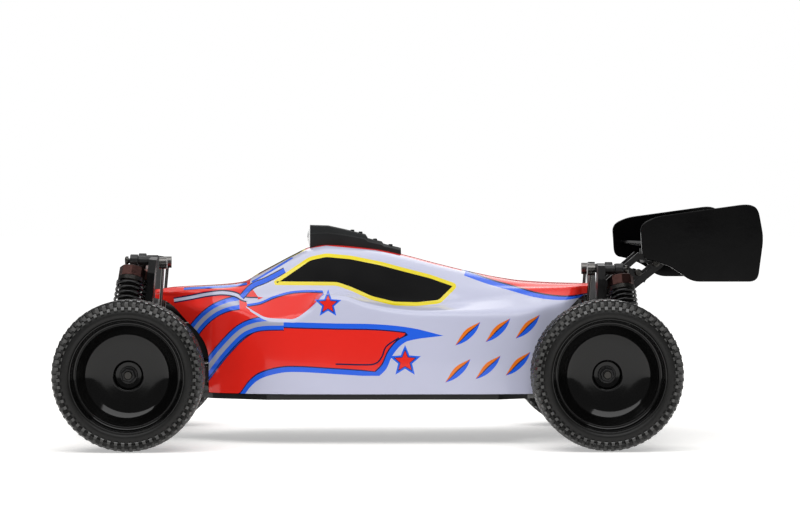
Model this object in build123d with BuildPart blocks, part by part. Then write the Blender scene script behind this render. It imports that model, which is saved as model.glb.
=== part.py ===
"""A 1:10 electric four-wheel-drive buggy, in millimetres.

+Z is up and the car's nose points along -X, so its left side is at -Y. The origin is on the ground,
under the middle of the whole length. Front and rear ends share one suspension layout: distances
along the car are "outward" from the axle, which is forward at the front and backward at the rear.
"""

import os
from math import atan2, cos, degrees, pi, radians, sin, sqrt

from build123d import *

os.makedirs("parts", exist_ok=True)

# Whole car
wheelbase = 277.0
tyre_radius = 43.75
tyre_inner = 84.0
tyre_outer = 124.0
mid_x = -25.0
axle_z = tyre_radius
wing_rear = 207.25

# Chassis plate
chassis_bottom = 26.5
chassis_top = 29.5
chassis_half_width = 61.0
chassis_end_half_width = 18.5
chassis_reach = 163.0

# Suspension: Y is the distance from the car's middle plane
inner_pin_y = 24.0
outer_pin_y = 75.0
pin_z = 33.0
pin_radius = 1.5
pin_hole = 1.57
kingpin_y = 85.0
shock_foot_y = 60.0
shock_foot_z = 34.0
shock_top_y = 34.0
link_inner_y = 28.0
link_outer_y = 79.0
link_z = 64.0
arm_thickness = 5.0
case_top = 59.8

# Steering
rack_out = -21.5
rack_low = 35.5
rack_high = 40.5
tie_rod_z = 44.1
tie_rod_inner_y = 25.5
tie_rod_outer_y = 78.5
rack_half = 30.0
horn_y = 13.7
horn_z = 60.0

# Drive line
shaft_z = 46.0
shaft_radius = 2.5
spur_x = 62.0
spur_teeth = 72
pinion_teeth = 24
gear_module = 0.5
motor_radius = 18.0
motor_length = 50.0
motor_rise = 3.0

# Ends of the car: (name, outward direction along X, axle X)
ends = (("front", -1, mid_x - wheelbase / 2), ("rear", 1, mid_x + wheelbase / 2))
sides = (("left", -1), ("right", 1))

# Where each end differs, outward from the axle
shock_top_out = {"front": 2.2, "rear": 13.9}
shock_foot_out = {"front": 13.0, "rear": 21.5}
shock_top_z = {"front": 109.0, "rear": 103.5}
arm_reach_out = {"front": 18.5, "rear": 27.5}
link_out = {"front": -11.5, "rear": -7.0}


def save(piece, name):
    """Labels a finished piece and writes it to its own file."""
    piece.part.label = name
    export_step(piece.part, f"parts/{name}.step")


def block(x, y, z, mode=Mode.ADD):
    """A box between two X, two Y and two Z values, in any order."""
    size = [abs(b - a) for a, b in (x, y, z)]
    middle = tuple((a + b) / 2 for a, b in (x, y, z))
    with Locations(middle):
        Box(*size, mode=mode)


def rod(start, end, radius, mode=Mode.ADD):
    """A round bar from one point to another."""
    start = Vector(*start)
    run = Vector(*end) - start
    with BuildSketch(Plane(origin=start, z_dir=run)) as disc:
        Circle(radius)
    extrude(disc.sketch, amount=run.length, mode=mode)


def outline(plane, points, amount, mode=Mode.ADD, both=False):
    """A closed straight-sided outline on a plane, made solid."""
    with BuildSketch(plane) as profile:
        with BuildLine():
            Polyline(*points, close=True)
        make_face()
    extrude(profile.sketch, amount=amount, both=both, mode=mode)


def lathe(x, side, points, mode=Mode.ADD):
    """A shape turned about a wheel axis. Points are (distance from the car's middle plane, radius)."""
    plane = Plane(origin=(x, 0, axle_z), x_dir=(0, side, 0), z_dir=(side, 0, 0))
    with BuildSketch(plane) as profile:
        with BuildLine():
            Polyline(*points, close=True)
        make_face()
    revolve(profile.sketch, axis=Axis((x, 0, axle_z), (0, 1, 0)), mode=mode)


def across(y):
    """The upright plane along the car at this Y, with local X along the car and local Y up."""
    return Plane(origin=(0, y, 0), x_dir=(1, 0, 0), z_dir=(0, -1, 0))


def facing(x):
    """The upright plane across the car at this X, with local X along +Y and local Y up."""
    return Plane(origin=(x, 0, 0), x_dir=(0, 1, 0), z_dir=(1, 0, 0))


# Wheels

def make_tyre(name, x, side):
    """A hollow rubber carcass, open towards the rim."""
    middle = (tyre_inner + tyre_outer) / 2
    half = (
        (0, tyre_radius),
        (12, tyre_radius),
        (16.5, 43.0),
        (19.3, 41.2),
        (20, 39.0),
        (19, 36.0),
        (14.5, 36.0),
        (15.8, 38.5),
        (12, 41.0),
        (0, 41.0),
    )
    inward = [(middle - a, r) for a, r in half[1:-1]]
    outward = [(middle + a, r) for a, r in half]
    with BuildPart() as tyre:
        lathe(x, side, outward + inward[::-1])
    save(tyre, name)


def make_rim(name, x, side):
    """A one-piece dish rim, with the stub axle, drive hex and wheel nut that turn with it."""
    rim_profile = (
        (86, 30), (86, 35.4), (88.5, 35.4), (90, 33), (117, 33), (118.5, 35.4), (122, 35.4),
        (122, 33.2), (119.5, 32.6), (114, 31.4), (112.5, 28.6), (109.5, 24), (107.3, 9),
        (104.8, 7.9), (104.8, 2.6), (101.3, 2.6), (101.3, 8), (104.2, 10), (106.5, 24),
        (109.5, 30),
    )
    axle_profile = (
        (90.5, 0), (110.5, 0), (110.5, 2.5), (90.5, 2.5), (90.5, 6.2), (82, 6.2), (82, 5), (89, 5), (89, 0),
    )
    with BuildPart() as rim:
        lathe(x, side, rim_profile)
        lathe(x, side, axle_profile)
        for near, far, size in ((96.4, 101.1, 12.0), (105.0, 109.5, 7.4)):
            plane = Plane(origin=(x, side * near, axle_z), x_dir=(1, 0, 0), z_dir=(0, side, 0))
            with BuildSketch(plane):
                RegularPolygon(size / 2, 6, major_radius=False)
                Circle(2.56, mode=Mode.SUBTRACT)
            extrude(amount=far - near)
    save(rim, name)


def make_drive_shaft(name, x, side):
    """A dog bone: a slim shaft with a ball at each end, carried between gear case and stub axle."""
    inner = inner_pin_y
    with BuildPart() as shaft:
        rod((x, side * inner, axle_z), (x, side * kingpin_y, axle_z), 1.4)
        rod((x, side * (inner + 7), axle_z), (x, side * (kingpin_y - 9), axle_z), 2.2)
        with Locations((x, side * inner, axle_z), (x, side * kingpin_y, axle_z)):
            Sphere(2.5)
    save(shaft, name)


# Suspension

def make_arm(name, end, out, x, side):
    """The lower arm: two inner lugs, a windowed web with a pocket for the shock's foot, two outer ears."""
    reach = arm_reach_out[end]
    foot = shock_foot_out[end]
    low = pin_z - 2.5
    web = (
        (x - out * 18.0, side * inner_pin_y),
        (x + out * reach, side * inner_pin_y),
        (x + out * reach, side * 66.0),
        (x + out * 14.5, side * 68.0),
        (x - out * 14.5, side * 68.0),
    )
    window = (
        (x - out * 11.0, side * 33.0),
        (x + out * (foot - 6.5), side * 33.0),
        (x + out * (foot - 6.5), side * 62.0),
        (x - out * 9.0, side * 62.0),
    )
    with BuildPart() as arm:
        outline(Plane.XY.offset(low), web, arm_thickness)
        outline(Plane.XY.offset(low), window, arm_thickness, Mode.SUBTRACT)
        block((x + out * (foot - 3.9), x + out * (foot + 3.9)), (side * 53, side * 65.5), (20, 50), Mode.SUBTRACT)
        for sign in (-1, 1):
            block((x + sign * 7.7, x + sign * 14.5), (side * 66, side * outer_pin_y), (low, low + arm_thickness))
        # Room for the gear case between the lugs, and round lugs on both pins.
        block((x - 9.2, x + 9.2), (side * 18, side * 29.5), (20, 50), Mode.SUBTRACT)
        for a, b in ((9.2, 18.4), (-18.4, -9.2)):
            rod((x + a, side * inner_pin_y, pin_z), (x + b, side * inner_pin_y, pin_z), 4)
        block((x + 18.5, x + 40), (side * 18, side * 30), (20, 50), Mode.SUBTRACT)
        block((x - 40, x - 18.5), (side * 18, side * 30), (20, 50), Mode.SUBTRACT)
        for a, b in ((7.7, 14.5), (-14.5, -7.7)):
            rod((x + a, side * outer_pin_y, pin_z), (x + b, side * outer_pin_y, pin_z), 3.8)
        rod((x - 30, side * inner_pin_y, pin_z), (x + 30, side * inner_pin_y, pin_z), pin_hole, Mode.SUBTRACT)
        # The outer hinge pin and the shock's foot screw stay in the arm.
        rod((x - 16, side * outer_pin_y, pin_z), (x + 16, side * outer_pin_y, pin_z), pin_radius)
        foot_at = (x + out * foot, side * shock_foot_y, shock_foot_z - 1)
        rod((foot_at[0] - 5.5, *foot_at[1:]), (foot_at[0] + 5.5, *foot_at[1:]), pin_radius)
    save(arm, name)


def make_steering_bracket(name, x, side):
    """The C-shaped front hub bracket: outer arm pin below, kingpins above and below the axle."""
    with BuildPart() as bracket:
        block((x - 7.2, x + 7.2), (side * 71, side * 76), (30, 37.4))
        block((x - 11, x + 5), (side * 70.5, side * 76), (37.4, 59.2))
        block((x + 5, x + 11), (side * 70.5, side * 76), (41.8, 59.2))
        rod((x - 7.2, side * outer_pin_y, pin_z), (x + 7.2, side * outer_pin_y, pin_z), 4)
        for low, high in ((axle_z + 12, axle_z + 15.5), (axle_z - 15.5, axle_z - 12)):
            block((x - 5.5, x + 5.5), (side * 75, side * 89), (low, high))
        block((x + 3, x + 8.2), (side * 75, side * 83), (axle_z + 12, link_z + 3.5))
        rod((x, side * 60, axle_z), (x, side * 76.2, axle_z), 8.6, Mode.SUBTRACT)
        rod((x - 8, side * outer_pin_y, pin_z), (x + 8, side * outer_pin_y, pin_z), pin_hole, Mode.SUBTRACT)
        for low, high in ((8.4, 16.5), (-16.5, -8.4)):
            rod((x, side * kingpin_y, axle_z + low), (x, side * kingpin_y, axle_z + high), pin_radius)
    save(bracket, name)


def make_knuckle(name, x, side):
    """The steering knuckle: bearing barrel, kingpin bosses and a steering arm towards the cabin."""
    with BuildPart() as knuckle:
        rod((x, side * 80.2, axle_z), (x, side * 95.8, axle_z), 9.5)
        for high in (11.7, -11.7):
            rod((x, side * kingpin_y, axle_z), (x, side * kingpin_y, axle_z + high), 4)
        block((x + 6, x + 25), (side * 77, side * 82), (37.6, 40.6))
        block((x + 6, x + 12), (side * 80.2, side * 90), (37.6, 40.6))
        rod((x, side * 70, axle_z), (x, side * 91.2, axle_z), 6.6, Mode.SUBTRACT)
        rod((x, side * 91, axle_z), (x, side * 96, axle_z), 2.57, Mode.SUBTRACT)
        for low, high in ((7.9, 12), (-12, -7.9)):
            rod((x, side * kingpin_y, axle_z + low), (x, side * kingpin_y, axle_z + high), pin_hole, Mode.SUBTRACT)
    save(knuckle, name)


def make_rear_hub(name, x, side):
    """The rear hub carrier: bearing barrel above the outer arm pin, with a lug for the camber link."""
    with BuildPart() as hub:
        rod((x, side * 78, axle_z), (x, side * 95.8, axle_z), 9.5)
        block((x - 7.2, x + 7.2), (side * 71.5, side * 82), (30.5, 52))
        rod((x - 7.2, side * outer_pin_y, pin_z), (x + 7.2, side * outer_pin_y, pin_z), 4)
        block((x - 3.7, x + 3.5), (side * 75, side * 83), (50, link_z + 3.5))
        rod((x, side * 70, axle_z), (x, side * 91.2, axle_z), 6.6, Mode.SUBTRACT)
        rod((x, side * 91, axle_z), (x, side * 96, axle_z), 2.57, Mode.SUBTRACT)
        rod((x - 8, side * outer_pin_y, pin_z), (x + 8, side * outer_pin_y, pin_z), pin_hole, Mode.SUBTRACT)
    save(hub, name)


def make_camber_link(name, end, out, x, side):
    """The upper link: a steel rod between two ball cups. Its outer cup stops just clear of the hub's lug."""
    at = x + out * link_out[end]
    with BuildPart() as link:
        rod((at, side * link_inner_y, link_z), (at, side * link_outer_y, link_z), 1.4)
        for y in (link_inner_y, link_outer_y):
            rod((at - 2.4, side * y, link_z), (at + 2.4, side * y, link_z), 3.4)
        rod((at - 3, side * link_inner_y, link_z), (at + 3, side * link_inner_y, link_z), 1.57, Mode.SUBTRACT)
    save(link, name)


def shock_line(end, out, x, side):
    """Top pivot, unit vector down the shock, and its length to the foot pivot."""
    top = Vector(x + out * shock_top_out[end], side * shock_top_y, shock_top_z[end])
    foot = Vector(x + out * shock_foot_out[end], side * shock_foot_y, shock_foot_z - 1)
    run = foot - top
    return top, run.normalized(), run.length


def make_shock(prefix, end, out, x, side):
    """Oil cylinder with cap and top eye; piston rod with lower spring cup and foot eye; coil spring."""
    top, down, length = shock_line(end, out, x, side)

    def stretch(a, b, radius, mode=Mode.ADD):
        """A round stretch of the shock between two distances below its top pivot."""
        rod(top + down * a, top + down * b, radius, mode)

    with BuildPart() as body:
        rod(top - Vector(2.4, 0, 0), top + Vector(2.4, 0, 0), 3.9)
        stretch(0, 5, 2.3)
        with BuildSketch(Plane(origin=top + down * 4.2, z_dir=down)):
            RegularPolygon(7.6, 8, major_radius=False)
        extrude(amount=7.2)
        stretch(11, 45, 6)
        stretch(13, 42.5, 4.6, Mode.SUBTRACT)
        stretch(42, 46, 1.6, Mode.SUBTRACT)
        rod(top - Vector(3, 0, 0), top + Vector(3, 0, 0), 1.57, Mode.SUBTRACT)
    save(body, f"{prefix}_shock_body")

    with BuildPart() as piston:
        stretch(28, length - 3, 1.5)
        stretch(27, 30, 4.45)
        stretch(length - 16, length - 12, 7.9)
        stretch(length - 14, length - 3, 2.4)
        foot = top + down * length
        rod(foot - Vector(2.4, 0, 0), foot + Vector(2.4, 0, 0), 4)
        rod(foot - Vector(3, 0, 0), foot + Vector(3, 0, 0), 2.6, Mode.SUBTRACT)
    save(piston, f"{prefix}_shock_shaft")

    with BuildPart() as spring:
        coil_top = 11.9
        coil_length = length - 16.5 - coil_top
        plane = Plane(origin=top + down * coil_top, z_dir=down)
        with BuildSketch(plane):
            Circle(8.1)
            Circle(6.5, mode=Mode.SUBTRACT)
        extrude(amount=coil_length)
    save(spring, f"{prefix}_shock_spring")


def make_corner(end, out, x, side_name, side):
    """Every separate piece of one wheel's suspension."""
    prefix = f"{end}_{side_name}"
    make_tyre(f"{prefix}_tyre", x, side)
    make_rim(f"{prefix}_rim", x, side)
    make_drive_shaft(f"{prefix}_drive_shaft", x, side)
    make_arm(f"{prefix}_lower_arm", end, out, x, side)
    make_camber_link(f"{prefix}_camber_link", end, out, x, side)
    make_shock(prefix, end, out, x, side)
    if end == "front":
        make_steering_bracket(f"{prefix}_hub_bracket", x, side)
        make_knuckle(f"{prefix}_knuckle", x, side)
        make_tie_rod(f"{prefix}_tie_rod", x, side)
    else:
        make_rear_hub(f"{prefix}_hub", x, side)


# Steering

def make_tie_rod(name, x, side):
    """A rod with a ball cup above the rack's end and one above the knuckle's arm."""
    at = x - rack_out
    with BuildPart() as tie:
        rod((at, side * tie_rod_inner_y, tie_rod_z), (at, side * tie_rod_outer_y, tie_rod_z), 1.5)
        for y in (tie_rod_inner_y, tie_rod_outer_y):
            rod((at, side * y, tie_rod_z - 1.65), (at, side * y, tie_rod_z + 2.3), 3.2)
    save(tie, name)


def make_steering(x):
    """The sliding rack with its fork, and the servo horn that moves it."""
    at = x - rack_out
    with BuildPart() as rack:
        block((at - 2.5, at + 2.5), (-rack_half, rack_half), (rack_low, rack_high))
        for y in (horn_y - 4.5, horn_y + 3.3):
            block((at - 2.5, at + 2.5), (y, y + 1.2), (rack_high - 0.5, 47))
    save(rack, "steering_rack")

    with BuildPart() as horn:
        rod((at - 2, horn_y, horn_z), (at + 2, horn_y, horn_z), 5)
        block((at - 1.6, at + 1.6), (horn_y - 1.9, horn_y + 1.9), (43, horn_z))
        rod((at - 3, horn_y, horn_z), (at + 3, horn_y, horn_z), 2.57, Mode.SUBTRACT)
    save(horn, "servo_horn")

    with BuildPart() as servo:
        block((at + 3.6, at + 39), (horn_y - 32, horn_y + 8), (horn_z - 10, horn_z + 10))
        block((at + 23, at + 25.4), (horn_y - 39, horn_y + 15), (horn_z - 10, horn_z + 10))
        rod((at - 2.4, horn_y, horn_z), (at + 4, horn_y, horn_z), 2.5)
    save(servo, "steering_servo")


# Structure fixed to the chassis

def make_chassis():
    """The chassis plate with low side guards, a slot for the spur gear and an upswept nose."""
    front_x = ends[0][2]
    rear_x = ends[1][2]
    half = [
        (mid_x - chassis_reach, chassis_end_half_width),
        (front_x + 27, chassis_end_half_width),
        (mid_x - 93, 44),
        (mid_x - 60, chassis_half_width),
        (mid_x + 78, chassis_half_width),
        (mid_x + 96, 50),
        (rear_x - 27, chassis_end_half_width),
        (rear_x + 22, chassis_end_half_width),
    ]
    points = half + [(x, -y) for x, y in reversed(half)]
    with BuildPart() as chassis:
        outline(Plane.XY.offset(chassis_bottom), points, chassis_top - chassis_bottom)
        for side in (-1, 1):
            low, high = sorted((side * (chassis_half_width - 2.5), side * (chassis_half_width - 5)))
            block((mid_x - 50, mid_x + 74), (low, high), (chassis_top - 0.5, chassis_top + 10))
        block((spur_x - 5, spur_x + 5), (-14, 14), (20, chassis_top + 1), Mode.SUBTRACT)
        # Two posts that the servo's mounting ears are screwed to.
        servo_x = front_x - rack_out + 20.5
        for y in (horn_y - 36, horn_y + 12):
            block((servo_x, servo_x + 2.45), (y - 3, y + 3), (chassis_top - 0.5, horn_z + 8))
        # Upswept nose plate ahead of the front gear case.
        nose = ((mid_x - chassis_reach, chassis_bottom), (mid_x - chassis_reach, chassis_top),
                (mid_x - chassis_reach - 12, chassis_top + 9), (mid_x - chassis_reach - 13.5, chassis_top + 6))
        outline(across(0), nose, 16, both=True)
    save(chassis, "chassis_plate")


def make_gear_case(end, out, x):
    """The housing of one axle's bevel gears, with pivot blocks for the arm pins and bores for the shafts.

    The front one also holds the guide that the steering rack slides in."""
    floor = chassis_top + 0.02
    with BuildPart() as case:
        block((x + out * 16, x - out * 13.5), (-16, 16), (floor, case_top))
        for a, b in ((-8.5, 8.5), (19.2, 23.4), (-23.4, -19.2)):
            if b - a > 10 or out * a > 0:
                block((x + a, x + b), (-28.3, 28.3), (floor, pin_z + 4))
            else:
                block((x + a, x + b), (-28.3, 28.3), (floor, pin_z + 2.2))
        for a, b in ((12, 23), (-23, -12)):
            block((x + a, x + b), (-13, 13), (floor, pin_z + 2.0))
        if end == "front":
            rack_x = x - rack_out
            block((x + 20, rack_x + 4.5), (-8.5, -1), (floor, 43))
            block((rack_x - 2.7, rack_x + 2.7), (-10, 0), (rack_low - 0.2, rack_high + 0.2), Mode.SUBTRACT)
            block((x + 15, rack_x - 2.7), (-8.5, -1), (rack_high + 0.2, 43))
        rod((x - out * 10, 0, shaft_z), (x - out * 16.5, 0, shaft_z), 7)
        rod((x, -25.5, axle_z), (x, 25.5, axle_z), 7.8)
        fillet(case.edges().filter_by(Axis.Y).group_by(Axis.Z)[-1], 4)
        rod((x, -30, axle_z), (x, -17, axle_z), 5.2, Mode.SUBTRACT)
        rod((x, 17, axle_z), (x, 30, axle_z), 5.2, Mode.SUBTRACT)
        rod((x - out * 10, 0, shaft_z), (x - out * 20, 0, shaft_z), shaft_radius + 0.08, Mode.SUBTRACT)
        for side in (-1, 1):
            rod((x - 30, side * inner_pin_y, pin_z), (x + 30, side * inner_pin_y, pin_z), pin_radius + 0.02,
                Mode.SUBTRACT)
    save(case, f"{end}_gear_case")


def make_tower(end, out, x, plane, thickness, top, standoff):
    """A shock tower plate with a valley for the body shell, its foot flange and the shock standoffs."""
    half = (
        (17, 61), (31, 61), (32.5, 68), (29, 78), (41, top - 8), (41, top), (31, top + 1.5), (19.5, 84), (0, 76),
    )
    points = [(y, z / cos(plane[1])) for y, z in half]
    points = points[:-1] + [points[-1]] + [(-y, z) for y, z in reversed(points[:-1])]
    with BuildPart() as tower:
        outline(plane[0], points, thickness)
        foot = x + out * plane[2]
        block((foot - 4.8, foot + 4.8), (-15.8, 15.8), (case_top + 0.05, 66))
        at = Vector(x + out * shock_top_out[end], 0, shock_top_z[end])
        for side in (-1, 1):
            start = (x + out * standoff, side * shock_top_y, at.Z)
            rod(start, (at.X + out * 4, side * shock_top_y, at.Z), pin_radius)
            rod(start, (at.X - out * 2.7, side * shock_top_y, at.Z), 2.8)
            link_x = x + out * link_out[end]
            back = x + out * plane[3]
            rod((back, side * link_inner_y, link_z), (link_x - out * 2.2, side * link_inner_y, link_z), 1.5)
    save(tower, f"{end}_shock_tower")


def make_towers():
    """The front tower leans back at its top. The rear tower stands upright."""
    front_x = ends[0][2]
    rear_x = ends[1][2]
    lean = radians(7.0)
    foot_x = front_x + 1.0
    leaning = Plane(origin=(foot_x - 60 * sin(lean) / cos(lean), 0, 0), x_dir=(0, 1, 0),
                    z_dir=(cos(lean), 0, -sin(lean)))
    make_tower("front", -1, front_x, (leaning, lean, -2.5, -5.0), 4.5, 110.0, -7.5)
    upright = facing(rear_x + 0.6)
    make_tower("rear", 1, rear_x, (upright, 0.0, 2.8, 2.0), 4.4, 106.0, 4.0)


def make_brace_rods():
    """Four steel rods with ball ends that brace the tops of the shock towers down to the gear cases."""
    with BuildPart() as rods:
        for (_, out, x), top_in, foot_in, top_z in zip(ends, (14.4, 2.0), (11.0, 5.5), (107.5, 103.5)):
            for _, side in sides:
                top = Vector(x - out * top_in, side * 21.5, top_z)
                foot = Vector(x - out * foot_in, side * 12.5, 62.5)
                rod(top, foot, 1.0)
                rod(top - Vector(2.3, 0, 0), top + Vector(2.3, 0, 0), 3.6)
                rod((foot.X, foot.Y, case_top + 0.05), (foot.X, foot.Y, 64.5), 2.2)
    save(rods, "tower_brace_rods")


def make_hinge_pins():
    """The four steel pins that the lower arms swing on."""
    with BuildPart() as pins:
        for _, _, x in ends:
            for _, side in sides:
                rod((x - 24.5, side * inner_pin_y, pin_z), (x + 24.5, side * inner_pin_y, pin_z), pin_radius)
    save(pins, "arm_hinge_pins")


def make_drive_line():
    """Centre shaft with its spur gear, the motor with its plate, and the pinion in mesh with the spur."""
    front_x = ends[0][2]
    rear_x = ends[1][2]
    with BuildPart() as shaft:
        rod((front_x + 10.5, 0, shaft_z), (rear_x - 10.5, 0, shaft_z), shaft_radius)
        with Locations(Plane(origin=(spur_x - 3, 0, shaft_z), x_dir=(0, 1, 0), z_dir=(1, 0, 0))):
            add(gear_blank(spur_teeth, 6, 0))
    save(shaft, "centre_shaft")

    spread = gear_module * (spur_teeth + pinion_teeth) / 2 + 0.05
    motor_y = sqrt(spread**2 - motor_rise**2)
    motor_z = shaft_z + motor_rise
    tilt = degrees(atan2(motor_rise, motor_y))
    with BuildPart() as pinion:
        with Locations(Plane(origin=(spur_x - 3.5, motor_y, motor_z), x_dir=(0, 1, 0), z_dir=(1, 0, 0))):
            add(gear_blank(pinion_teeth, 7, 180 / pinion_teeth + 180 + tilt * (1 + spur_teeth / pinion_teeth)))
        rod((spur_x - 20, motor_y, motor_z), (spur_x + 10, motor_y, motor_z), 1.6, Mode.SUBTRACT)
    save(pinion, "motor_pinion")

    plate_x = spur_x - 9.0
    with BuildPart() as plate:
        block((plate_x, plate_x + 3), (-7, 43), (chassis_top + 0.02, 66.5))
        rod((plate_x - 1, 0, shaft_z), (plate_x + 4, 0, shaft_z), shaft_radius + 0.08, Mode.SUBTRACT)
        rod((plate_x - 1, motor_y, motor_z), (plate_x + 4, motor_y, motor_z), 6.7, Mode.SUBTRACT)
    save(plate, "motor_plate")

    with BuildPart() as motor:
        rod((plate_x - motor_length, motor_y, motor_z), (plate_x - 0.05, motor_y, motor_z), motor_radius)
        rod((plate_x - 1, motor_y, motor_z), (plate_x + 2.9, motor_y, motor_z), 6.5)
        rod((plate_x, motor_y, motor_z), (spur_x + 5, motor_y, motor_z), 1.55)
    save(motor, "drive_motor")


def gear_blank(teeth, width, turn):
    """A spur gear with straight-flanked teeth, centred on the local origin and standing on local XY."""
    root = gear_module * (teeth - 2.5) / 2
    tip = gear_module * (teeth + 2) / 2
    points = []
    for tooth in range(teeth):
        for share, radius in ((-0.31, root), (-0.13, tip), (0.13, tip), (0.31, root)):
            angle = radians(turn) + 2 * pi * (tooth + share) / teeth
            points.append((radius * cos(angle), radius * sin(angle)))
    with BuildPart() as gear:
        outline(Plane.XY, points, width)
    return gear.part


def battery_strap(x):
    """A fabric band round the battery, a hair's breadth clear of it."""
    with BuildPart() as strap:
        block((x - 5, x + 5), (-55.4, -8.1), (chassis_top + 0.02, 56))
        block((x - 6, x + 6), (-54.1, -9.4), (20, 54.6), Mode.SUBTRACT)
    return strap.part


def make_electrics():
    """Battery pack with its two straps, and the speed controller with its heat sink."""
    with BuildPart() as battery:
        block((mid_x - 62, mid_x + 76), (-54, -9.5), (chassis_top + 0.05, 54.5))
        fillet(battery.edges().filter_by(Axis.X), 3)
        for x in (mid_x - 30, mid_x + 40):
            add(battery_strap(x))
    save(battery, "battery_pack")

    with BuildPart() as controller:
        block((mid_x - 58, mid_x - 20), (12, 48), (chassis_top + 0.02, 45))
        for step in range(7):
            y = 15 + 4.8 * step
            block((mid_x - 53, mid_x - 25), (y, y + 1.6), (44.5, 52))
    save(controller, "speed_controller")


# Rear wing

def make_wing_mount():
    """Two braced side frames that carry the wing behind the rear tower, joined by cross bars."""
    rear_x = ends[1][2]
    foot = rear_x + 5.4
    with BuildPart() as mount:
        for y in (-14, 10):
            for start, end, depth in (
                ((foot + 2, 94), (mid_x + 167.5, 112.6), 3.6),
                ((foot + 2, 79.5), (mid_x + 181, 107.6), 4.2),
                ((mid_x + 158, 104), (mid_x + 171, 97), 4.0),
                ((mid_x + 166, 111.6), (mid_x + 183, 107.9), 3.6),
            ):
                strut(start, end, depth, y, y + 4)
            block((foot, foot + 3), (y, y + 4), (72, 97))
        for z in (74, 92):
            block((foot, foot + 3), (-12, 12), (z, z + 4))
        block((mid_x + 170, mid_x + 180), (-12, 12), (107.5, 110.5))
        for y in (-14, 10):
            block((mid_x + 170, mid_x + 180), (y, y + 4), (109, 116.2))
    save(mount, "wing_mount")


def strut(start, end, depth, y_low, y_high):
    """A flat bar between two points (X, Z), with this depth across its run."""
    (x0, z0), (x1, z1) = start, end
    run = sqrt((x1 - x0) ** 2 + (z1 - z0) ** 2)
    dx = -(z1 - z0) / run * depth / 2
    dz = (x1 - x0) / run * depth / 2
    points = ((x0 - dx, z0 - dz), (x1 - dx, z1 - dz), (x1 + dx, z1 + dz), (x0 + dx, z0 + dz))
    outline(across(y_high), points, y_high - y_low)


def make_wing():
    """One moulding: a curved blade between two end plates."""
    plate_outline = [
        (159.3, 128.5), (169.2, 135.6), (223, 143), (229, 138.5), (mid_x * -1 + wing_rear, 122.9),
        (228.8, 100), (226.6, 97.3), (189.7, 97.3), (179, 105.5), (169, 109.2), (160.7, 112),
    ]
    plate_outline = [(mid_x + x, z) for x, z in plate_outline]
    blade = ((164, 120.9), (172, 119.8), (183, 119.5), (196, 121.5), (209, 127.6), (222, 139.2),
             (223, 137.6), (210, 125.4), (196.5, 119.1), (183, 117), (172, 117.3), (164, 119.5))
    blade = [(mid_x + x, z) for x, z in blade]
    with BuildPart() as wing:
        for y in (-86, 88):
            outline(across(y), plate_outline, 2)
        outline(across(0), blade, 86.5, both=True)
    save(wing, "rear_wing")


# Body shell

def shell_stations():
    """Half sections of the shell: X from mid wheelbase, then (half width, height) from sill to roof centre."""
    return (
        (-130.0, (10, 28), (10, 85.5), (9.5, 88.6), (8, 89.8), (5, 90.4), (0, 90.6)),
        (-118.0, (15, 28), (15, 82), (14.5, 88), (12, 90.8), (7, 92), (0, 92.2)),
        (-104.0, (26, 28), (26, 78), (22, 87), (17, 91.4), (10, 92.8), (0, 93)),
        (-93.0, (44, 28), (43, 80.8), (30, 85), (22, 91.2), (12, 93.4), (0, 93.6)),
        (-72.0, (57, 28), (56, 78), (36, 84), (27, 92), (14, 95.2), (0, 95.5)),
        (-45.0, (63, 28), (61, 74), (40, 92), (30, 106), (16, 111), (0, 111.5)),
        (-25.0, (64.5, 28), (60, 79), (43, 93.5), (30, 112.5), (16, 117.9), (0, 118.5)),
        (5.0, (65, 28), (61, 82), (44, 86), (30, 109), (16, 115.4), (0, 116)),
        (40.0, (65, 28), (62, 79), (43, 83), (28, 100.5), (15, 107), (0, 107.5)),
        (62.0, (65, 28), (62, 79), (40, 88), (26, 96), (14, 101.6), (0, 102)),
        (95.0, (62, 28), (58, 79), (33, 90), (24, 93), (12, 95.8), (0, 96)),
        (118.0, (46, 28), (42, 81), (29, 90), (22, 92.6), (11, 94.6), (0, 94.8)),
        (126.0, (30, 28), (29, 85), (24, 90.6), (19, 92.8), (10, 94.4), (0, 94.6)),
        (131.5, (17, 28), (17, 87), (16.4, 91), (13.5, 93.2), (8, 94.3), (0, 94.5)),
        (136.3, (14.5, 28), (14.5, 88.6), (14, 91), (11.5, 93), (7, 94.2), (0, 94.4)),
    )


def shell_loft(inset, sill, mode=Mode.ADD):
    """The shell's form, drawn in by inset on every side and standing on the height sill."""
    stations = shell_stations()
    faces = []
    for index, (x, *half) in enumerate(stations):
        shift = inset * (1 if index == 0 else -1 if index == len(stations) - 1 else 0)
        half = [(max(y - inset, 0), z - inset * 1.1) for y, z in half]
        half[0] = (half[0][0], sill)
        points = half + [(-y, z) for y, z in reversed(half[:-1])]
        with BuildSketch(facing(mid_x + x + shift), mode=Mode.PRIVATE) as section:
            with BuildLine():
                Polyline(*points, close=True)
            make_face()
        faces.append(section.sketch)
    loft(faces, ruled=True, mode=mode)


def make_shell():
    """A thin painted shell, open below, cut back around the front wheels and behind the cabin."""
    wall = 1.3
    sill = chassis_top + 0.3
    front_cut = ((-140, 20), (-95.5, 20), (-95.5, 40), (-96.3, 55), (-101.6, 64.5), (-110.5, 73), (-118, 81),
                 (-131, 87.5), (-140, 87.5))
    rear_cut = ((101, 20), (101, 40), (106, 60), (113, 71), (118.6, 76.6), (128.5, 85.6), (136, 88.6),
                (145, 90), (145, 20))
    with BuildPart() as shell:
        shell_loft(0, sill)
        shell_loft(wall, sill - 5, Mode.SUBTRACT)
        for cut in (front_cut, rear_cut):
            outline(across(0), [(mid_x + x, z) for x, z in cut], 90, Mode.SUBTRACT, both=True)
    save(shell, "body_shell")


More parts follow.
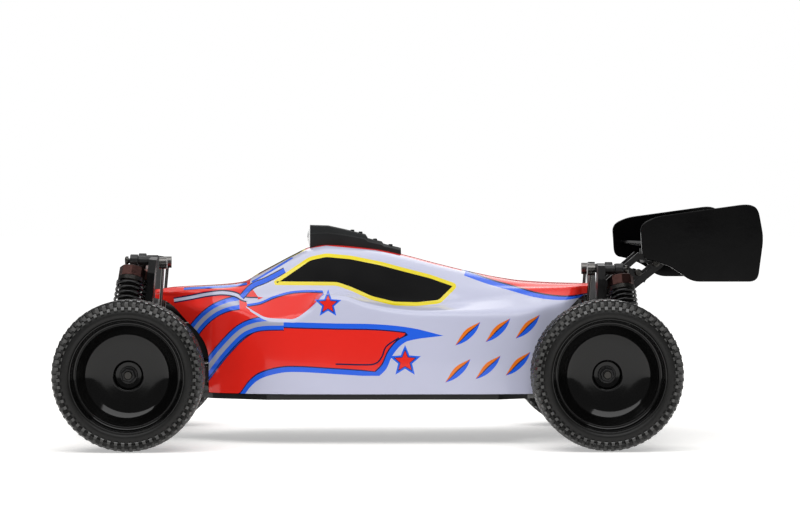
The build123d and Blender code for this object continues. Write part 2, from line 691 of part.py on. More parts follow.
def make_scoop():
    """The roof scoop: a stepped, vented cover that stands on the cabin roof."""
    side = ((-35, 115.9), (-35, 130.7), (-25, 130.7), (1, 124.5), (3, 121.5), (20.8, 116.8), (20.8, 112.5),
            (5, 116.3), (-25, 118.8))
    with BuildPart() as scoop:
        outline(across(0), [(mid_x + x, z) for x, z in side], 15, both=True)
        for x, z in ((-14, 127.6), (-5, 125.5), (8, 119.7)):
            block((mid_x + x - 1.5, mid_x + x + 1.5), (-11, 11), (z - 1.6, z + 5), Mode.SUBTRACT)
    save(scoop, "roof_scoop")


for end, out, x in ends:
    make_gear_case(end, out, x)
    for side_name, side in sides:
        make_corner(end, out, x, side_name, side)
make_chassis()
make_steering(ends[0][2])
make_towers()
make_brace_rods()
make_hinge_pins()
make_drive_line()
make_electrics()
make_wing_mount()
make_wing()
make_shell()
make_scoop()
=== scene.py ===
"""The looks of the buggy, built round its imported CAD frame.

Shapes are drawn in millimetres in the frame's own axes and become metres when a piece is made.
The nose points along -X, the near side is -Y and +Z is up.
"""

from math import ceil, cos, pi, radians, sin

import bmesh
import bpy
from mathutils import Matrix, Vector
from mathutils.bvhtree import BVHTree


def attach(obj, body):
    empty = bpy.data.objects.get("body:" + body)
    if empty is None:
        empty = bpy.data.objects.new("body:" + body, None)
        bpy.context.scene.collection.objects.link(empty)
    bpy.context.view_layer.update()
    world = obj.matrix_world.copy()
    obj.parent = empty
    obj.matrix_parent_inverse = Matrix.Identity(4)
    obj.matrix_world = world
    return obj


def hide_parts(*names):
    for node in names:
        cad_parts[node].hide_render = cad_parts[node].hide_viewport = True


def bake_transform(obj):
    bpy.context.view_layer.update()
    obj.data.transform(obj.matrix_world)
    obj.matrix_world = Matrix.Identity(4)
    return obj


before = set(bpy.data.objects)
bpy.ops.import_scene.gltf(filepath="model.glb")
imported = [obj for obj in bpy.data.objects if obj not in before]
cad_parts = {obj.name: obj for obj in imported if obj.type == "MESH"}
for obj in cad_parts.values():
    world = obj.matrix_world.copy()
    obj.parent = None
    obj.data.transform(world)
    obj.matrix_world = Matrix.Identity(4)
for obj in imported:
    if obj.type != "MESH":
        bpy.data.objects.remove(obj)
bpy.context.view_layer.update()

MM = 0.001
FULL_TURN = 2 * pi

# Where things are, in millimetres
MID_X = -25.0
AXLE_X = {"front": MID_X - 138.5, "rear": MID_X + 138.5}
AXLE_Z = 43.75
SIDES = {"left": -1, "right": 1}
SHOCK_TOP_OUT = {"front": 2.2, "rear": 13.9}
SHOCK_FOOT_OUT = {"front": 13.0, "rear": 21.5}
SHOCK_TOP_Z = {"front": 109.0, "rear": 103.5}
SHOCK_TOP_Y = 34.0
SHOCK_FOOT_Y = 60.0
SHOCK_FOOT_Z = 33.0
SHELL_SKIN = 1.1

# The camera's place and lens, and how far it turns right and looks down
CAMERA_PLACE = (-0.0355, -1.707, 0.130)
CAMERA_LENS = 124.5
TURN_RIGHT = radians(1.0356)
LOOK_DOWN = radians(0.81816)

# Light levels
FLOOR_GLOW = 0.42
ROOM_LIGHT = 0.17


# Materials

def new_material(name, colour, roughness, metallic=0.0, coat=0.0, specular=0.5, alpha=1.0,
                 transmission=0.0):
    """A plain shader with its constants set on its own sockets. Returns the material, its nodes and links."""
    material = bpy.data.materials.new(name)
    material.use_nodes = True
    tree = material.node_tree
    shader = tree.nodes["Principled BSDF"]
    shader.inputs["Base Color"].default_value = (*colour, 1.0)
    shader.inputs["Roughness"].default_value = roughness
    shader.inputs["Metallic"].default_value = metallic
    shader.inputs["Coat Weight"].default_value = coat
    shader.inputs["Coat Roughness"].default_value = 0.04
    shader.inputs["Specular IOR Level"].default_value = specular
    shader.inputs["Alpha"].default_value = alpha
    shader.inputs["Transmission Weight"].default_value = transmission
    return material, tree, shader


def add_noise(tree, scale, detail=3.0, stretch=(1, 1, 1)):
    """Noise in the piece's own coordinates, stretched along its axes."""
    place = tree.nodes.new("ShaderNodeTexCoord")
    mapping = tree.nodes.new("ShaderNodeMapping")
    mapping.inputs["Scale"].default_value = stretch
    noise = tree.nodes.new("ShaderNodeTexNoise")
    noise.inputs["Scale"].default_value = scale
    noise.inputs["Detail"].default_value = detail
    tree.links.new(place.outputs["Object"], mapping.inputs["Vector"])
    tree.links.new(mapping.outputs["Vector"], noise.inputs["Vector"])
    return noise.outputs["Fac"]


def spread(tree, value, low, high):
    """Turns noise between about 0.3 and 0.7 into a value between low and high."""
    span = tree.nodes.new("ShaderNodeMapRange")
    span.inputs["From Min"].default_value = 0.3
    span.inputs["From Max"].default_value = 0.7
    span.inputs["To Min"].default_value = low
    span.inputs["To Max"].default_value = high
    tree.links.new(value, span.inputs["Value"])
    return span.outputs["Result"]


def tint(tree, shader, value, dark, light):
    """Drives the base colour between two colours."""
    ramp = tree.nodes.new("ShaderNodeValToRGB")
    ramp.color_ramp.elements[0].position = 0.3
    ramp.color_ramp.elements[0].color = (*dark, 1.0)
    ramp.color_ramp.elements[1].position = 0.7
    ramp.color_ramp.elements[1].color = (*light, 1.0)
    tree.links.new(value, ramp.inputs["Fac"])
    tree.links.new(ramp.outputs["Color"], shader.inputs["Base Color"])


def bump(tree, shader, value, strength, depth):
    """A small relief from a value, with its depth in metres."""
    relief = tree.nodes.new("ShaderNodeBump")
    relief.inputs["Strength"].default_value = strength
    relief.inputs["Distance"].default_value = depth
    tree.links.new(value, relief.inputs["Height"])
    tree.links.new(relief.outputs["Normal"], shader.inputs["Normal"])


def plastic(name, colour, low, high, grain, grain_depth, coat=0.0, light=1.25, specular=0.5):
    """Moulded plastic: uneven sheen, slightly uneven colour and a fine grain."""
    material, tree, shader = new_material(name, colour, low, coat=coat, specular=specular)
    wide = add_noise(tree, 60, 4)
    tree.links.new(spread(tree, wide, low, high), shader.inputs["Roughness"])
    tint(tree, shader, wide, colour, tuple(min(1, channel * light) for channel in colour))
    bump(tree, shader, add_noise(tree, grain, 2), 0.25, grain_depth)
    return material


def metal(name, colour, low, high, stretch=(1, 1, 1), light=1.15):
    """Metal with fine drawn scratches along one axis."""
    material, tree, shader = new_material(name, colour, low, metallic=1.0)
    fine = add_noise(tree, 900, 3, stretch)
    tree.links.new(spread(tree, fine, low, high), shader.inputs["Roughness"])
    tint(tree, shader, add_noise(tree, 90, 3), colour, tuple(min(1,
                                                                 channel * light) for channel in colour))
    bump(tree, shader, fine, 0.12, 0.00004)
    return material


def paint(name, colour, light=1.05):
    """Paint seen through the clear shell: a deep gloss with faint waves and dust."""
    material, tree, shader = new_material(name, colour, 0.16, coat=0.25, specular=0.25)
    wide = add_noise(tree, 30, 3)
    tree.links.new(spread(tree, wide, 0.11, 0.2), shader.inputs["Roughness"])
    tint(tree, shader, add_noise(tree, 14, 5), colour, tuple(min(1,
                                                                 channel * light) for channel in colour))
    bump(tree, shader, add_noise(tree, 45, 1), 0.05, 0.0006)
    return material


MATERIALS = {
    "pale": paint("paint_pale_lavender", (0.55, 0.565, 0.72)),
    "red": paint("paint_red", (0.80, 0.022, 0.014)),
    "blue": paint("paint_blue", (0.018, 0.12, 0.78)),
    "navy": paint("paint_navy", (0.008, 0.010, 0.055)),
    "grey": paint("paint_grey", (0.36, 0.38, 0.50)),
    "orange": paint("paint_orange", (0.85, 0.19, 0.012)),
    "yellow": paint("paint_yellow", (0.80, 0.66, 0.015)),
    "window": plastic("paint_window_black", (0.002, 0.002, 0.0022), 0.42, 0.55, 60, 0.0002,
                      specular=0.06),
    "rubber": plastic("tyre_rubber", (0.007, 0.007, 0.0068), 0.38, 0.52, 420, 0.00008, light=1.4,
                      specular=0.26),
    "knob": plastic("knob_rubber", (0.009, 0.009, 0.0085), 0.2, 0.34, 600, 0.00006, light=1.8,
                    specular=0.8),
    "rim": plastic("rim_plastic", (0.0022, 0.0022, 0.0022), 0.06, 0.11, 240, 0.00002, specular=0.32),
    "frame": plastic("frame_plastic", (0.006, 0.006, 0.0065), 0.30, 0.5, 520, 0.00008, light=1.5,
                     specular=0.4),
    "wing": plastic("wing_plastic", (0.0015, 0.0015, 0.0016), 0.07, 0.14, 180, 0.00003, specular=0.12),
    "scoop": plastic("scoop_plastic", (0.010, 0.011, 0.0115), 0.48, 0.66, 620, 0.0001, light=1.5,
                     specular=0.22),
    "steel": metal("polished_steel", (0.62, 0.61, 0.60), 0.16, 0.32, (1, 1, 0.1)),
    "satin": metal("satin_steel", (0.13, 0.125, 0.12), 0.24, 0.38, (1, 1, 0.1)),
    "dark_steel": metal("dark_steel", (0.055, 0.053, 0.05), 0.24, 0.4, (1, 0.2, 1)),
    "spring": plastic("spring_coating", (0.004, 0.004, 0.0045), 0.16, 0.3, 500, 0.00003, specular=0.4),
    "anodised": metal("anodised_mauve", (0.105, 0.052, 0.046), 0.26, 0.42, (0.3, 1, 1)),
    "motor": metal("motor_can", (0.42, 0.42, 0.44), 0.22, 0.36, (0.1, 1, 1)),
    "battery": plastic("battery_wrap", (0.015, 0.022, 0.08), 0.25, 0.4, 300, 0.00006),
    "controller": plastic("controller_case", (0.010, 0.010, 0.011), 0.34, 0.5, 500, 0.00008,
                          specular=0.35),
}
MATERIALS["lens"] = new_material("scoop_lens", (0.86, 0.88, 0.9), 0.05, alpha=0.42, specular=0.6)[0]
bump(MATERIALS["lens"].node_tree, MATERIALS["lens"].node_tree.nodes["Principled BSDF"],
     add_noise(MATERIALS["lens"].node_tree, 80), 0.05, 0.0002)


# Drawing tools

def finish_piece(name, mesh, body, nodes, materials, sharp=34.0):
    """Makes an object of a bmesh drawn in millimetres, and puts it on its body."""
    bmesh.ops.recalc_face_normals(mesh, faces=mesh.faces)
    bmesh.ops.scale(mesh, vec=(MM, MM, MM), verts=mesh.verts)
    for edge in mesh.edges:
        edge.smooth = edge.is_manifold and edge.calc_face_angle(0) < radians(sharp)
    for face in mesh.faces:
        face.smooth = True
    data = bpy.data.meshes.new(name)
    mesh.to_mesh(data)
    mesh.free()
    piece = bpy.data.objects.new(name, data)
    bpy.context.collection.objects.link(piece)
    for material in materials:
        data.materials.append(MATERIALS[material])
    if body:
        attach(piece, body)
    if nodes:
        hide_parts(*nodes)
    return piece


def soften(points, cut, steps=4, closed=False):
    """Rounds the corners of a line of points, starting each curve this far from its corner."""
    points = [Vector(point) for point in points]
    count = len(points)
    smooth = []
    for index, corner in enumerate(points):
        if not closed and index in (0, count - 1):
            smooth.append(corner)
            continue
        before = points[index - 1] - corner
        after = points[(index + 1) % count] - corner
        start = corner + before.normalized() * min(cut, before.length * 0.45)
        end = corner + after.normalized() * min(cut, after.length * 0.45)
        for step in range(steps + 1):
            share = step / steps
            smooth.append(start * (1 - share) ** 2 + corner * 2 * share * (1 - share) + end * share**2)
    return smooth


def curve_through(points, spacing=2.5, closed=False):
    """A smooth curve through points, with a new point about every spacing."""
    points = [Vector(point) for point in points]
    count = len(points)
    smooth = []
    spans = count if closed else count - 1
    for index in range(spans):
        b = points[index]
        c = points[(index + 1) % count]
        a = points[index - 1] if closed or index else b * 2 - c
        d = points[(index + 2) % count] if closed or index < count - 2 else c * 2 - b
        steps = max(1, ceil((c - b).length / spacing))
        for step in range(steps):
            t = step / steps
            smooth.append(0.5 * (b * 2 + (c - a) * t + (a * 2 - b * 5 + c * 4 - d) * t**2
                                 + (b * 3 - a - c * 3 + d) * t**3))
    if not closed:
        smooth.append(points[-1])
    return smooth


def turned(mesh, profile, origin, along, segments=96, material=0, closed=False):
    """A surface turned about an axis. Profile points are (distance along the axis, radius)."""
    along = Vector(along).normalized()
    across = along.orthogonal().normalized()
    other = along.cross(across)
    rings = []
    for distance, radius in profile:
        centre = Vector(origin) + along * distance
        if radius < 1e-4:
            rings.append([mesh.verts.new(centre)])
            continue
        turns = [FULL_TURN * step / segments for step in range(segments)]
        rings.append([mesh.verts.new(centre + (across * cos(t) + other * sin(t)) * radius) for t in turns])
    pairs = list(zip(rings, rings[1:]))
    if closed:
        pairs.append((rings[-1], rings[0]))
    for a, b in pairs:
        for i in range(segments):
            j = (i + 1) % segments
            corners = [a[i % len(a)], a[j % len(a)], b[j % len(b)], b[i % len(b)]]
            corners = [v for index, v in enumerate(corners) if v not in corners[:index]]
            if len(corners) > 2:
                mesh.faces.new(corners).material_index = material


def bridge(mesh, rings, material=0):
    """Faces between closed rings of points, each ring joined to the next."""
    for a, b in zip(rings, rings[1:]):
        for i in range(len(a)):
            j = (i + 1) % len(a)
            mesh.faces.new((a[i], a[j], b[j], b[i])).material_index = material


def bar(mesh, start, end, radius, edge=0.3, segments=24, material=0):
    """A round bar between two points, with small rounded ends."""
    start = Vector(start)
    run = Vector(end) - start
    length = run.length
    profile = ((0, 0), (0, radius - edge), (edge, radius), (length - edge, radius), (length,
                                                                                     radius - edge),
               (length, 0))
    turned(mesh, profile, start, run, segments, material)


def prism(mesh, outline, low, high, to_point, material=0, edge=0.0):
    """A plate: an outline of (u, v) points between two depths, placed by to_point(u, v, depth)."""
    outline = [Vector(point) for point in outline]
    centre = sum(outline, Vector((0, 0))) / len(outline)
    depths = [(low, edge), (low + edge, 0), (high - edge, 0), (high, edge)] if edge else [(low, 0), (high,
                                                                                                     0)]
    rings = []
    for depth, inset in depths:
        ring = []
        for index, point in enumerate(outline):
            if inset:
                ahead = (outline[(index + 1) % len(outline)] - outline[index - 1]).normalized()
                normal = Vector((-ahead.y, ahead.x))
                if normal.dot(centre - point) < 0:
                    normal = -normal
                point = point + normal * inset
            ring.append(mesh.verts.new(to_point(point.x, point.y, depth)))
        rings.append(ring)
    bridge(mesh, rings, material)
    mesh.faces.new(rings[0]).material_index = material
    mesh.faces.new(rings[-1]).material_index = material


def side_point(u, v, depth):
    """A point of a plate that stands along the car: u is X, v is Z and depth is Y."""
    return (u, depth, v)


def block(mesh, low, high, edge=0.4, material=0):
    """A box between two corners with rounded edges."""
    low = Vector(low)
    high = Vector(high)
    made = bmesh.ops.create_cube(mesh, size=1.0)["verts"]
    bmesh.ops.scale(mesh, vec=high - low, verts=made)
    bmesh.ops.translate(mesh, vec=(high + low) / 2, verts=made)
    faces = {face for v in made for face in v.link_faces}
    for face in faces:
        face.material_index = material
    edges = list({e for v in made for e in v.link_edges})
    if edge:
        bmesh.ops.bevel(mesh, geom=edges, offset=edge, segments=2, affect="EDGES", profile=0.5)


def hex_screw(mesh, at, along, radius, height, material=0, socket=0.55):
    """A round-headed screw with a six-sided socket."""
    profile = [(0, radius), (height * 0.6, radius), (height * 0.9, radius * 0.86), (height, radius * 0.7)]
    turned(mesh, profile, at, along, 24, material)
    along = Vector(along).normalized()
    across = along.orthogonal().normalized()
    other = along.cross(across)
    top = Vector(at) + along * height
    floor = Vector(at) + along * height * 0.45
    turns = [FULL_TURN * step / 24 for step in range(24)]
    outer = [mesh.verts.new(top + (across * cos(t) + other * sin(t)) * radius * 0.7) for t in turns]
    hexagon = []
    for t in turns:
        reach = radius * socket * cos(pi / 6) / cos((t % (pi / 3)) - pi / 6)
        hexagon.append((across * cos(t) + other * sin(t)) * reach)
    rim = [mesh.verts.new(top + p) for p in hexagon]
    deep = [mesh.verts.new(floor + p) for p in hexagon]
    bridge(mesh, (outer, rim, deep), material)
    mesh.faces.new(deep).material_index = material


# Wheels

TYRE_MIDDLE = 104.0
KNOBS_ROUND = 60


def tyre_profile():
    """The carcass from its inner bead, over the tread, to its outer bead: (from the middle, radius)."""
    half = [(0, 41.3), (9, 41.2), (13.5, 40.8), (16.6, 39.9), (18.6, 38.5), (19.7, 36.6), (19.9, 35.0),
            (19.4, 33.9),
            (18.6, 33.3), (17.9, 33.6)]
    line = [(-a, r) for a, r in half[:0:-1]] + half
    return [tuple(point) for point in curve_through(line, 1.2)]


def add_knob(mesh, spin, across, radius, height, long, wide, lean, side):
    """One tapered block of tread. Lean tips it from the tread towards the sidewall."""
    out = Vector((0, sin(lean) * side, cos(lean)))
    flat = Vector((0, cos(lean) * side, -sin(lean)))
    foot = Vector((0, across, radius)) - out * 0.8
    rings = []
    for rise, share in ((0, 1.15), (height + 0.5, 1.0), (height + 0.8, 0.84)):
        ring = []
        for a, b in ((-1, -1), (1, -1), (1, 1), (-1, 1)):
            p = foot + out * rise + flat * b * wide / 2 * share
            x = a * long / 2 * share
            turned_x = x * cos(spin) + p.z * sin(spin)
            turned_z = -x * sin(spin) + p.z * cos(spin)
            ring.append(mesh.verts.new((turned_x, p.y, turned_z)))
        rings.append(ring)
    bridge(mesh, rings, 1)
    mesh.faces.new(rings[-1]).material_index = 1


def make_tyre(end, side_name):
    """A knobbly tyre: smooth sidewalls, staggered square blocks and a leaning row on each shoulder."""
    side = SIDES[side_name]
    mesh = bmesh.new()
    turned(mesh, tyre_profile(), (0, 0, 0), (0, 1, 0), 120)
    # Rows from the middle out: distance across, radius of the foot, height, lean in degrees.
    rows = ((0.0, 41.1, 2.55, 0), (4.6, 41.1, 2.55, 0), (9.1, 41.0, 2.6, 2), (13.2, 40.6, 2.9, 10), (16.5,
                                                                                                     39.7,
                                                                                                     3.0,
                                                                                                     30),
            (18.0, 38.3, 1.7, 58))
    for step in range(KNOBS_ROUND):
        for index, (across, radius, height, lean) in enumerate(rows):
            spin = FULL_TURN * (step + 0.5 * (index % 2)) / KNOBS_ROUND
            for way in (-1, 1) if across else (1,):
                add_knob(mesh, spin, across * way, radius, height, 2.1, 2.3, radians(lean), way)
    bmesh.ops.translate(mesh, vec=(AXLE_X[end], side * TYRE_MIDDLE, AXLE_Z), verts=mesh.verts)
    body = f"{end}_{side_name}_wheel"
    finish_piece(f"{end}_{side_name}_tyre_tread", mesh, body, [f"{end}_{side_name}_tyre"],
                 ["rubber", "knob"], 30)


def make_rim(end, side_name):
    """A glossy dish rim with a double lip, a hub recess, the wheel nut and the stub axle."""
    side = SIDES[side_name]
    origin = (AXLE_X[end], 0, AXLE_Z)
    along = (0, side, 0)
    mesh = bmesh.new()
    lips = soften([(88, 33.6), (89.6, 33.4), (91, 32.4), (116.5, 32.4), (118.4, 33.2), (122.4, 33.5),
                   (122.8, 33.0), (122.7, 32.3), (121.6, 31.9), (119.4, 31.6), (117.6, 30.9), (117.0,
                                                                                               30.0),
                   (117.3, 29.4), (116.8, 29.0)], 0.7, 4)
    bowl = curve_through([(116.2, 28.4), (113.8, 26.0), (111.4, 23.4), (109.8, 20.4), (109.1, 17.0),
                          (108.8, 13.0),
                          (108.6, 9.2)], 1.1)
    recess = soften([(108.6, 9.0), (108.2, 8.4), (105.2, 7.8), (104.9, 2.6)], 0.7, 4)
    face = lips + bowl + recess
    turned(mesh, face, origin, along, 128)
    back = soften([(88, 33.6), (86.4, 33.2), (86.2, 31.0), (110.5, 30.4), (108.0, 24.5), (105.2, 11),
                   (102.4, 9.6),
                   (101.4, 7.8), (101.4, 2.6)], 0.6, 3)
    turned(mesh, back, origin, along, 128)
    # Twelve low ribs stiffen the back of the dish.
    for step in range(12):
        turn = FULL_TURN * step / 12
        ray = Vector((cos(turn), 0, sin(turn)))
        tangent = Vector((-sin(turn), 0, cos(turn))) * 0.7
        corners = [(30.6, 94), (30.6, 109.8), (24.6, 107.6), (11, 104.8), (11, 99)]
        plates = []
        for sign in (-1, 1):
            plates.append([mesh.verts.new(Vector(origin) + ray * r + Vector((0, side * y,
                                                                             0)) + tangent * sign)
                           for r, y in corners])
        bridge(mesh, plates)
        mesh.faces.new(plates[0])
        mesh.faces.new(plates[1])
    body = f"{end}_{side_name}_wheel"
    prefix = f"{end}_{side_name}"
    finish_piece(f"{prefix}_rim_dish", mesh, body, [f"{prefix}_rim"], ["rim"])

    hub = bmesh.new()
    bar(hub, (origin[0], side * 82, AXLE_Z), (origin[0], side * 89, AXLE_Z), 6.2, 0.5, 40, 1)
    bar(hub, (origin[0], side * 89, AXLE_Z), (origin[0], side * 111.0, AXLE_Z), 2.5, 0.5, 32, 0)
    for near, far, size, shade in ((96.4, 101.2, 6.0, 1), (104.9, 109.2, 3.9, 1)):
        turned(hub, ((near, 2.4), (near, size), (near + 0.5, size * 1.12), (far - 0.6, size * 1.12),
                     (far, size * 0.98), (far, 2.4)), origin, along, 6, shade)
    turned(hub, ((104.9, 2.4), (104.9, 5.2), (105.6, 5.2), (106.0, 4.9), (106.0, 2.4)), origin, along, 40,
           1)
    finish_piece(f"{prefix}_wheel_nut", hub, body, [f"{prefix}_rim"], ["dark_steel",
                                                                                      "frame"])


# Shocks

def shock_frame(end, side_name):
    """The shock's top pivot, the direction down it, and the distance to its foot pivot."""
    out = -1 if end == "front" else 1
    side = SIDES[side_name]
    top = Vector((AXLE_X[end] + out * SHOCK_TOP_OUT[end], side * SHOCK_TOP_Y, SHOCK_TOP_Z[end]))
    foot = Vector((AXLE_X[end] + out * SHOCK_FOOT_OUT[end], side * SHOCK_FOOT_Y, SHOCK_FOOT_Z))
    return top, (foot - top).normalized(), (foot - top).length


def make_shock(end, side_name):
    """An oil shock: faceted cap, ringed cylinder, spring cups, polished rod, eyes and a coil spring."""
    prefix = f"{end}_{side_name}"
    top, down, length = shock_frame(end, side_name)
    ahead = Vector((1, 0, 0))

    body = bmesh.new()
    turned(body, soften([(-2.4, 1.6), (-2.4, 3.9), (2.4, 3.9), (2.4, 1.6)], 0.5, 2), top, ahead, 32, 1,
           True)
    bar(body, top + down * 2.5, top + down * 5, 2.6, 0.2, 24, 1)
    turned(body, ((4.4, 0), (4.4, 6.6), (5.2, 7.9), (10.8, 7.9), (11.5, 7.3), (11.5, 0)), top, down, 8, 0)
    finish_piece(f"{prefix}_shock_cap", body, f"{prefix}_shock_body",
                 [f"{prefix}_shock_body"], ["anodised", "frame"], 20)

    tube = bmesh.new()
    collar = [(11.3, 0), (11.3, 7.9), (13.6, 7.9), (13.6, 6.2)]
    for ring in range(9):
        at = 14.2 + ring * 1.2
        collar += [(at, 6.2), (at + 0.3, 6.55), (at + 0.6, 6.2)]
    collar += [(44.2, 6.1), (45.4, 5.2), (46, 3.4), (46, 1.6)]
    turned(tube, collar, top, down, 40)
    finish_piece(f"{prefix}_shock_tube", tube, f"{prefix}_shock_body",
                 [f"{prefix}_shock_body"], ["dark_steel"], 40)

    rod = bmesh.new()
    bar(rod, top + down * 30, top + down * (length - 4), 1.5, 0.2, 24, 0)
    cup = soften([(length - 16, 2.0), (length - 16, 7.9), (length - 13.6, 7.9), (length - 12.1, 6.9),
                  (length - 12.1, 2.4), (length - 3, 2.4)], 0.4, 2)
    turned(rod, cup, top, down, 40, 1)
    foot = top + down * length
    turned(rod, soften([(-2.4, 2.6), (-2.4, 4.0), (2.4, 4.0), (2.4, 2.6)], 0.4, 2), foot, ahead, 32, 1,
           True)
    finish_piece(f"{prefix}_shock_rod", rod, f"{prefix}_shock_shaft",
                 [f"{prefix}_shock_shaft"], ["steel", "frame"])
    make_spring(prefix, top, down, length)


def make_spring(prefix, top, down, length):
    """A close-wound coil spring with flat ends."""
    start = 13.9
    finish = length - 15.6
    wire = 0.85
    radius = 7.85
    turns = 17
    per_turn = 26
    around = 8
    across = down.orthogonal().normalized()
    other = down.cross(across)
    mesh = bmesh.new()
    rings = []
    steps = turns * per_turn
    rise = finish - start - 2 * wire
    for step in range(steps + 1):
        turn = FULL_TURN * step / per_turn
        share = step / steps
        # The first and last turn lie flat against the cups.
        flat = 0.9 / turns
        if share < flat:
            level = share * 0.35
        elif share > 1 - flat:
            level = 1 - (1 - share) * 0.35
        else:
            level = 0.35 * flat + (share - flat) / (1 - 2 * flat) * (1 - 0.7 * flat)
        centre = top + down * (start + wire + level * rise)
        ray = across * cos(turn) + other * sin(turn)
        ring = []
        for spoke in range(around):
            angle = FULL_TURN * spoke / around
            place = centre + ray * (radius + wire * cos(angle)) + down * wire * sin(angle)
            ring.append(mesh.verts.new(place))
        rings.append(ring)
    bridge(mesh, rings)
    mesh.faces.new(rings[0])
    mesh.faces.new(rings[-1])
    piece = finish_piece(f"{prefix}_coil", mesh, None, [f"{prefix}_shock_spring"],
                         ["spring"], 60)
    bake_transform(piece)


# Wing

def make_wing():
    """Two end plates with rounded corners and a raised border, and a curved blade between them."""
    outline = [(159.6, 131.0), (169.2, 135.6), (223, 143), (229, 140.5), (232.2, 122.9), (228.8, 97.3),
               (189.7, 97.3), (179, 105.5), (169, 109.2), (160.9, 110.6)]
    outline = [(MID_X + x, z) for x, z in outline]
    plate = soften(outline, 5.0, 5, True)
    mesh = bmesh.new()
    for low, high in ((-88, -86), (86, 88)):
        prism(mesh, plate, low, high, side_point, edge=0.4)
    centre = Vector((MID_X + 196, 119))
    # A faint line runs inside the edge of each plate's outer face.
    outer = [centre + (point - centre) * 0.955 for point in plate]
    inner = [centre + (point - centre) * 0.93 for point in plate]
    for side in (-1, 1):
        face = side * 88.0
        loops = []
        for points, at in ((outer, face), (outer, face - side * 0.02), (inner, face - side * 0.02)):
            loops.append([mesh.verts.new((p.x, at, p.y)) for p in points])
        bridge(mesh, loops)
    sweep = [(164.6, 120.2), (172, 118.6), (183, 118.25), (196, 120.3), (209, 126.5), (222, 138.2)]
    middle = curve_through(sweep, 1.5)
    upper = []
    lower = []
    for index, point in enumerate(middle):
        ahead = middle[min(index + 1, len(middle) - 1)] - middle[max(index - 1, 0)]
        ahead.normalize()
        normal = Vector((-ahead.y, ahead.x))
        share = index / (len(middle) - 1)
        thick = 0.4 + 0.75 * sin(pi * min(1, share + 0.15))
        upper.append(point + normal * thick)
        lower.append(point - normal * thick)
    blade = [(MID_X + x, z) for x, z in strip(upper, lower)]
    prism(mesh, blade, -86.0, 86.0, side_point)
    finish_piece("rear_wing_moulding", mesh, "chassis", ["rear_wing"], ["wing"], 28)


# Roof scoop

def make_scoop():
    """The roof scoop: an upright mouth with a clear lens, a stepped back with louvres, and side panels."""
    top_line = [(-35, 130.7), (-24, 130.4), (-14, 128.2), (-1, 125.0), (0.6, 122.6), (9, 120.6), (10.2,
                                                                                                  119.2),
                (20.8, 116.6)]
    bottom_line = [(-35, 116.0), (-20, 118.0), (-8, 117.4), (5, 115.8), (20.8, 112.2)]
    mesh = bmesh.new()
    levels = [(-35, 15.0), (-24, 14.8), (-14, 14.4), (-1, 13.8), (0.6, 13.6), (9, 13.1), (10.2, 13.0),
              (20.8, 11.6)]

    def height(line, x):
        """The height of a line of (X, Z) points at X."""
        for (x0, z0), (x1, z1) in zip(line, line[1:]):
            if x <= x1:
                return z0 + (z1 - z0) * (x - x0) / (x1 - x0)
        return line[-1][1]

    rings = []
    for x, half in levels:
        high = height(top_line, x)
        low = height(bottom_line, x)
        shelf = low + (high - low) * 0.62
        section = [(half, low), (half - 0.4, shelf), (half - 1.8, shelf + 0.8), (half - 2.6, high - 0.7),
                   (half - 4.0, high)]
        section = section + [(-y, z) for y, z in reversed(section)]
        rings.append([mesh.verts.new((MID_X + x, y, z)) for y, z in section])
    bridge(mesh, rings)
    mesh.faces.new(rings[-1])
    # The mouth is a frame round a dark recess.
    mouth = rings[0]
    centre = Vector((MID_X - 35, 0, 123.6))
    inner = [mesh.verts.new(centre + (v.co - centre) * 0.82) for v in mouth]
    deep = [mesh.verts.new(v.co + Vector((9, 0, 0))) for v in inner]
    bridge(mesh, (mouth, inner, deep))
    mesh.faces.new(deep)
    corners = [edge for edge in mesh.edges if edge.is_manifold and edge.calc_face_angle(0) > 0.5]
    bmesh.ops.bevel(mesh, geom=corners, offset=0.35, segments=2, affect="EDGES", profile=0.5)
    for x, z, half in ((-9.0, 127.1, 9.5), (-4.0, 125.9, 9.5), (5.0, 121.6, 9.0), (14.5, 118.2, 8.5)):
        block(mesh, (MID_X + x - 1.2, -half, z - 0.8), (MID_X + x + 1.2, half, z + 0.7), 0.35)
    finish_piece("roof_scoop_cover", mesh, "shell", ["roof_scoop"], ["scoop"], 30)

    lens = bmesh.new()
    rings = []
    for step in range(9):
        rise = step / 8
        bow = 1.6 * sin(pi * rise)
        z = 117.8 + 10.6 * rise
        rings.append([lens.verts.new((MID_X - 35.4 - bow * cos(y / 12 * pi / 2.3), y, z))
                      for y in (-12, -9, -6, -3, 0, 3, 6, 9, 12)])
    for a, b in zip(rings, rings[1:]):
        for i in range(8):
            lens.faces.new((a[i], a[i + 1], b[i + 1], b[i]))
    finish_piece("roof_scoop_lens", lens, "shell", ["roof_scoop"], ["lens"], 60)


# Body shell

# The shell's lines run along the car. X is measured from mid wheelbase.
# X, then the sill's half width and height
SILL = (
    (-130, 10, 30), (-118, 15, 30), (-104, 26, 30), (-95.5, 43, 30), (-84, 51, 30), (-72, 57, 30),
    (-45, 63, 30), (5, 65, 30), (62, 65, 30), (95, 62, 30), (106, 55, 30), (118, 46, 30),
    (126, 30, 30), (131.5, 17, 30), (136.3, 14.5, 30),
)
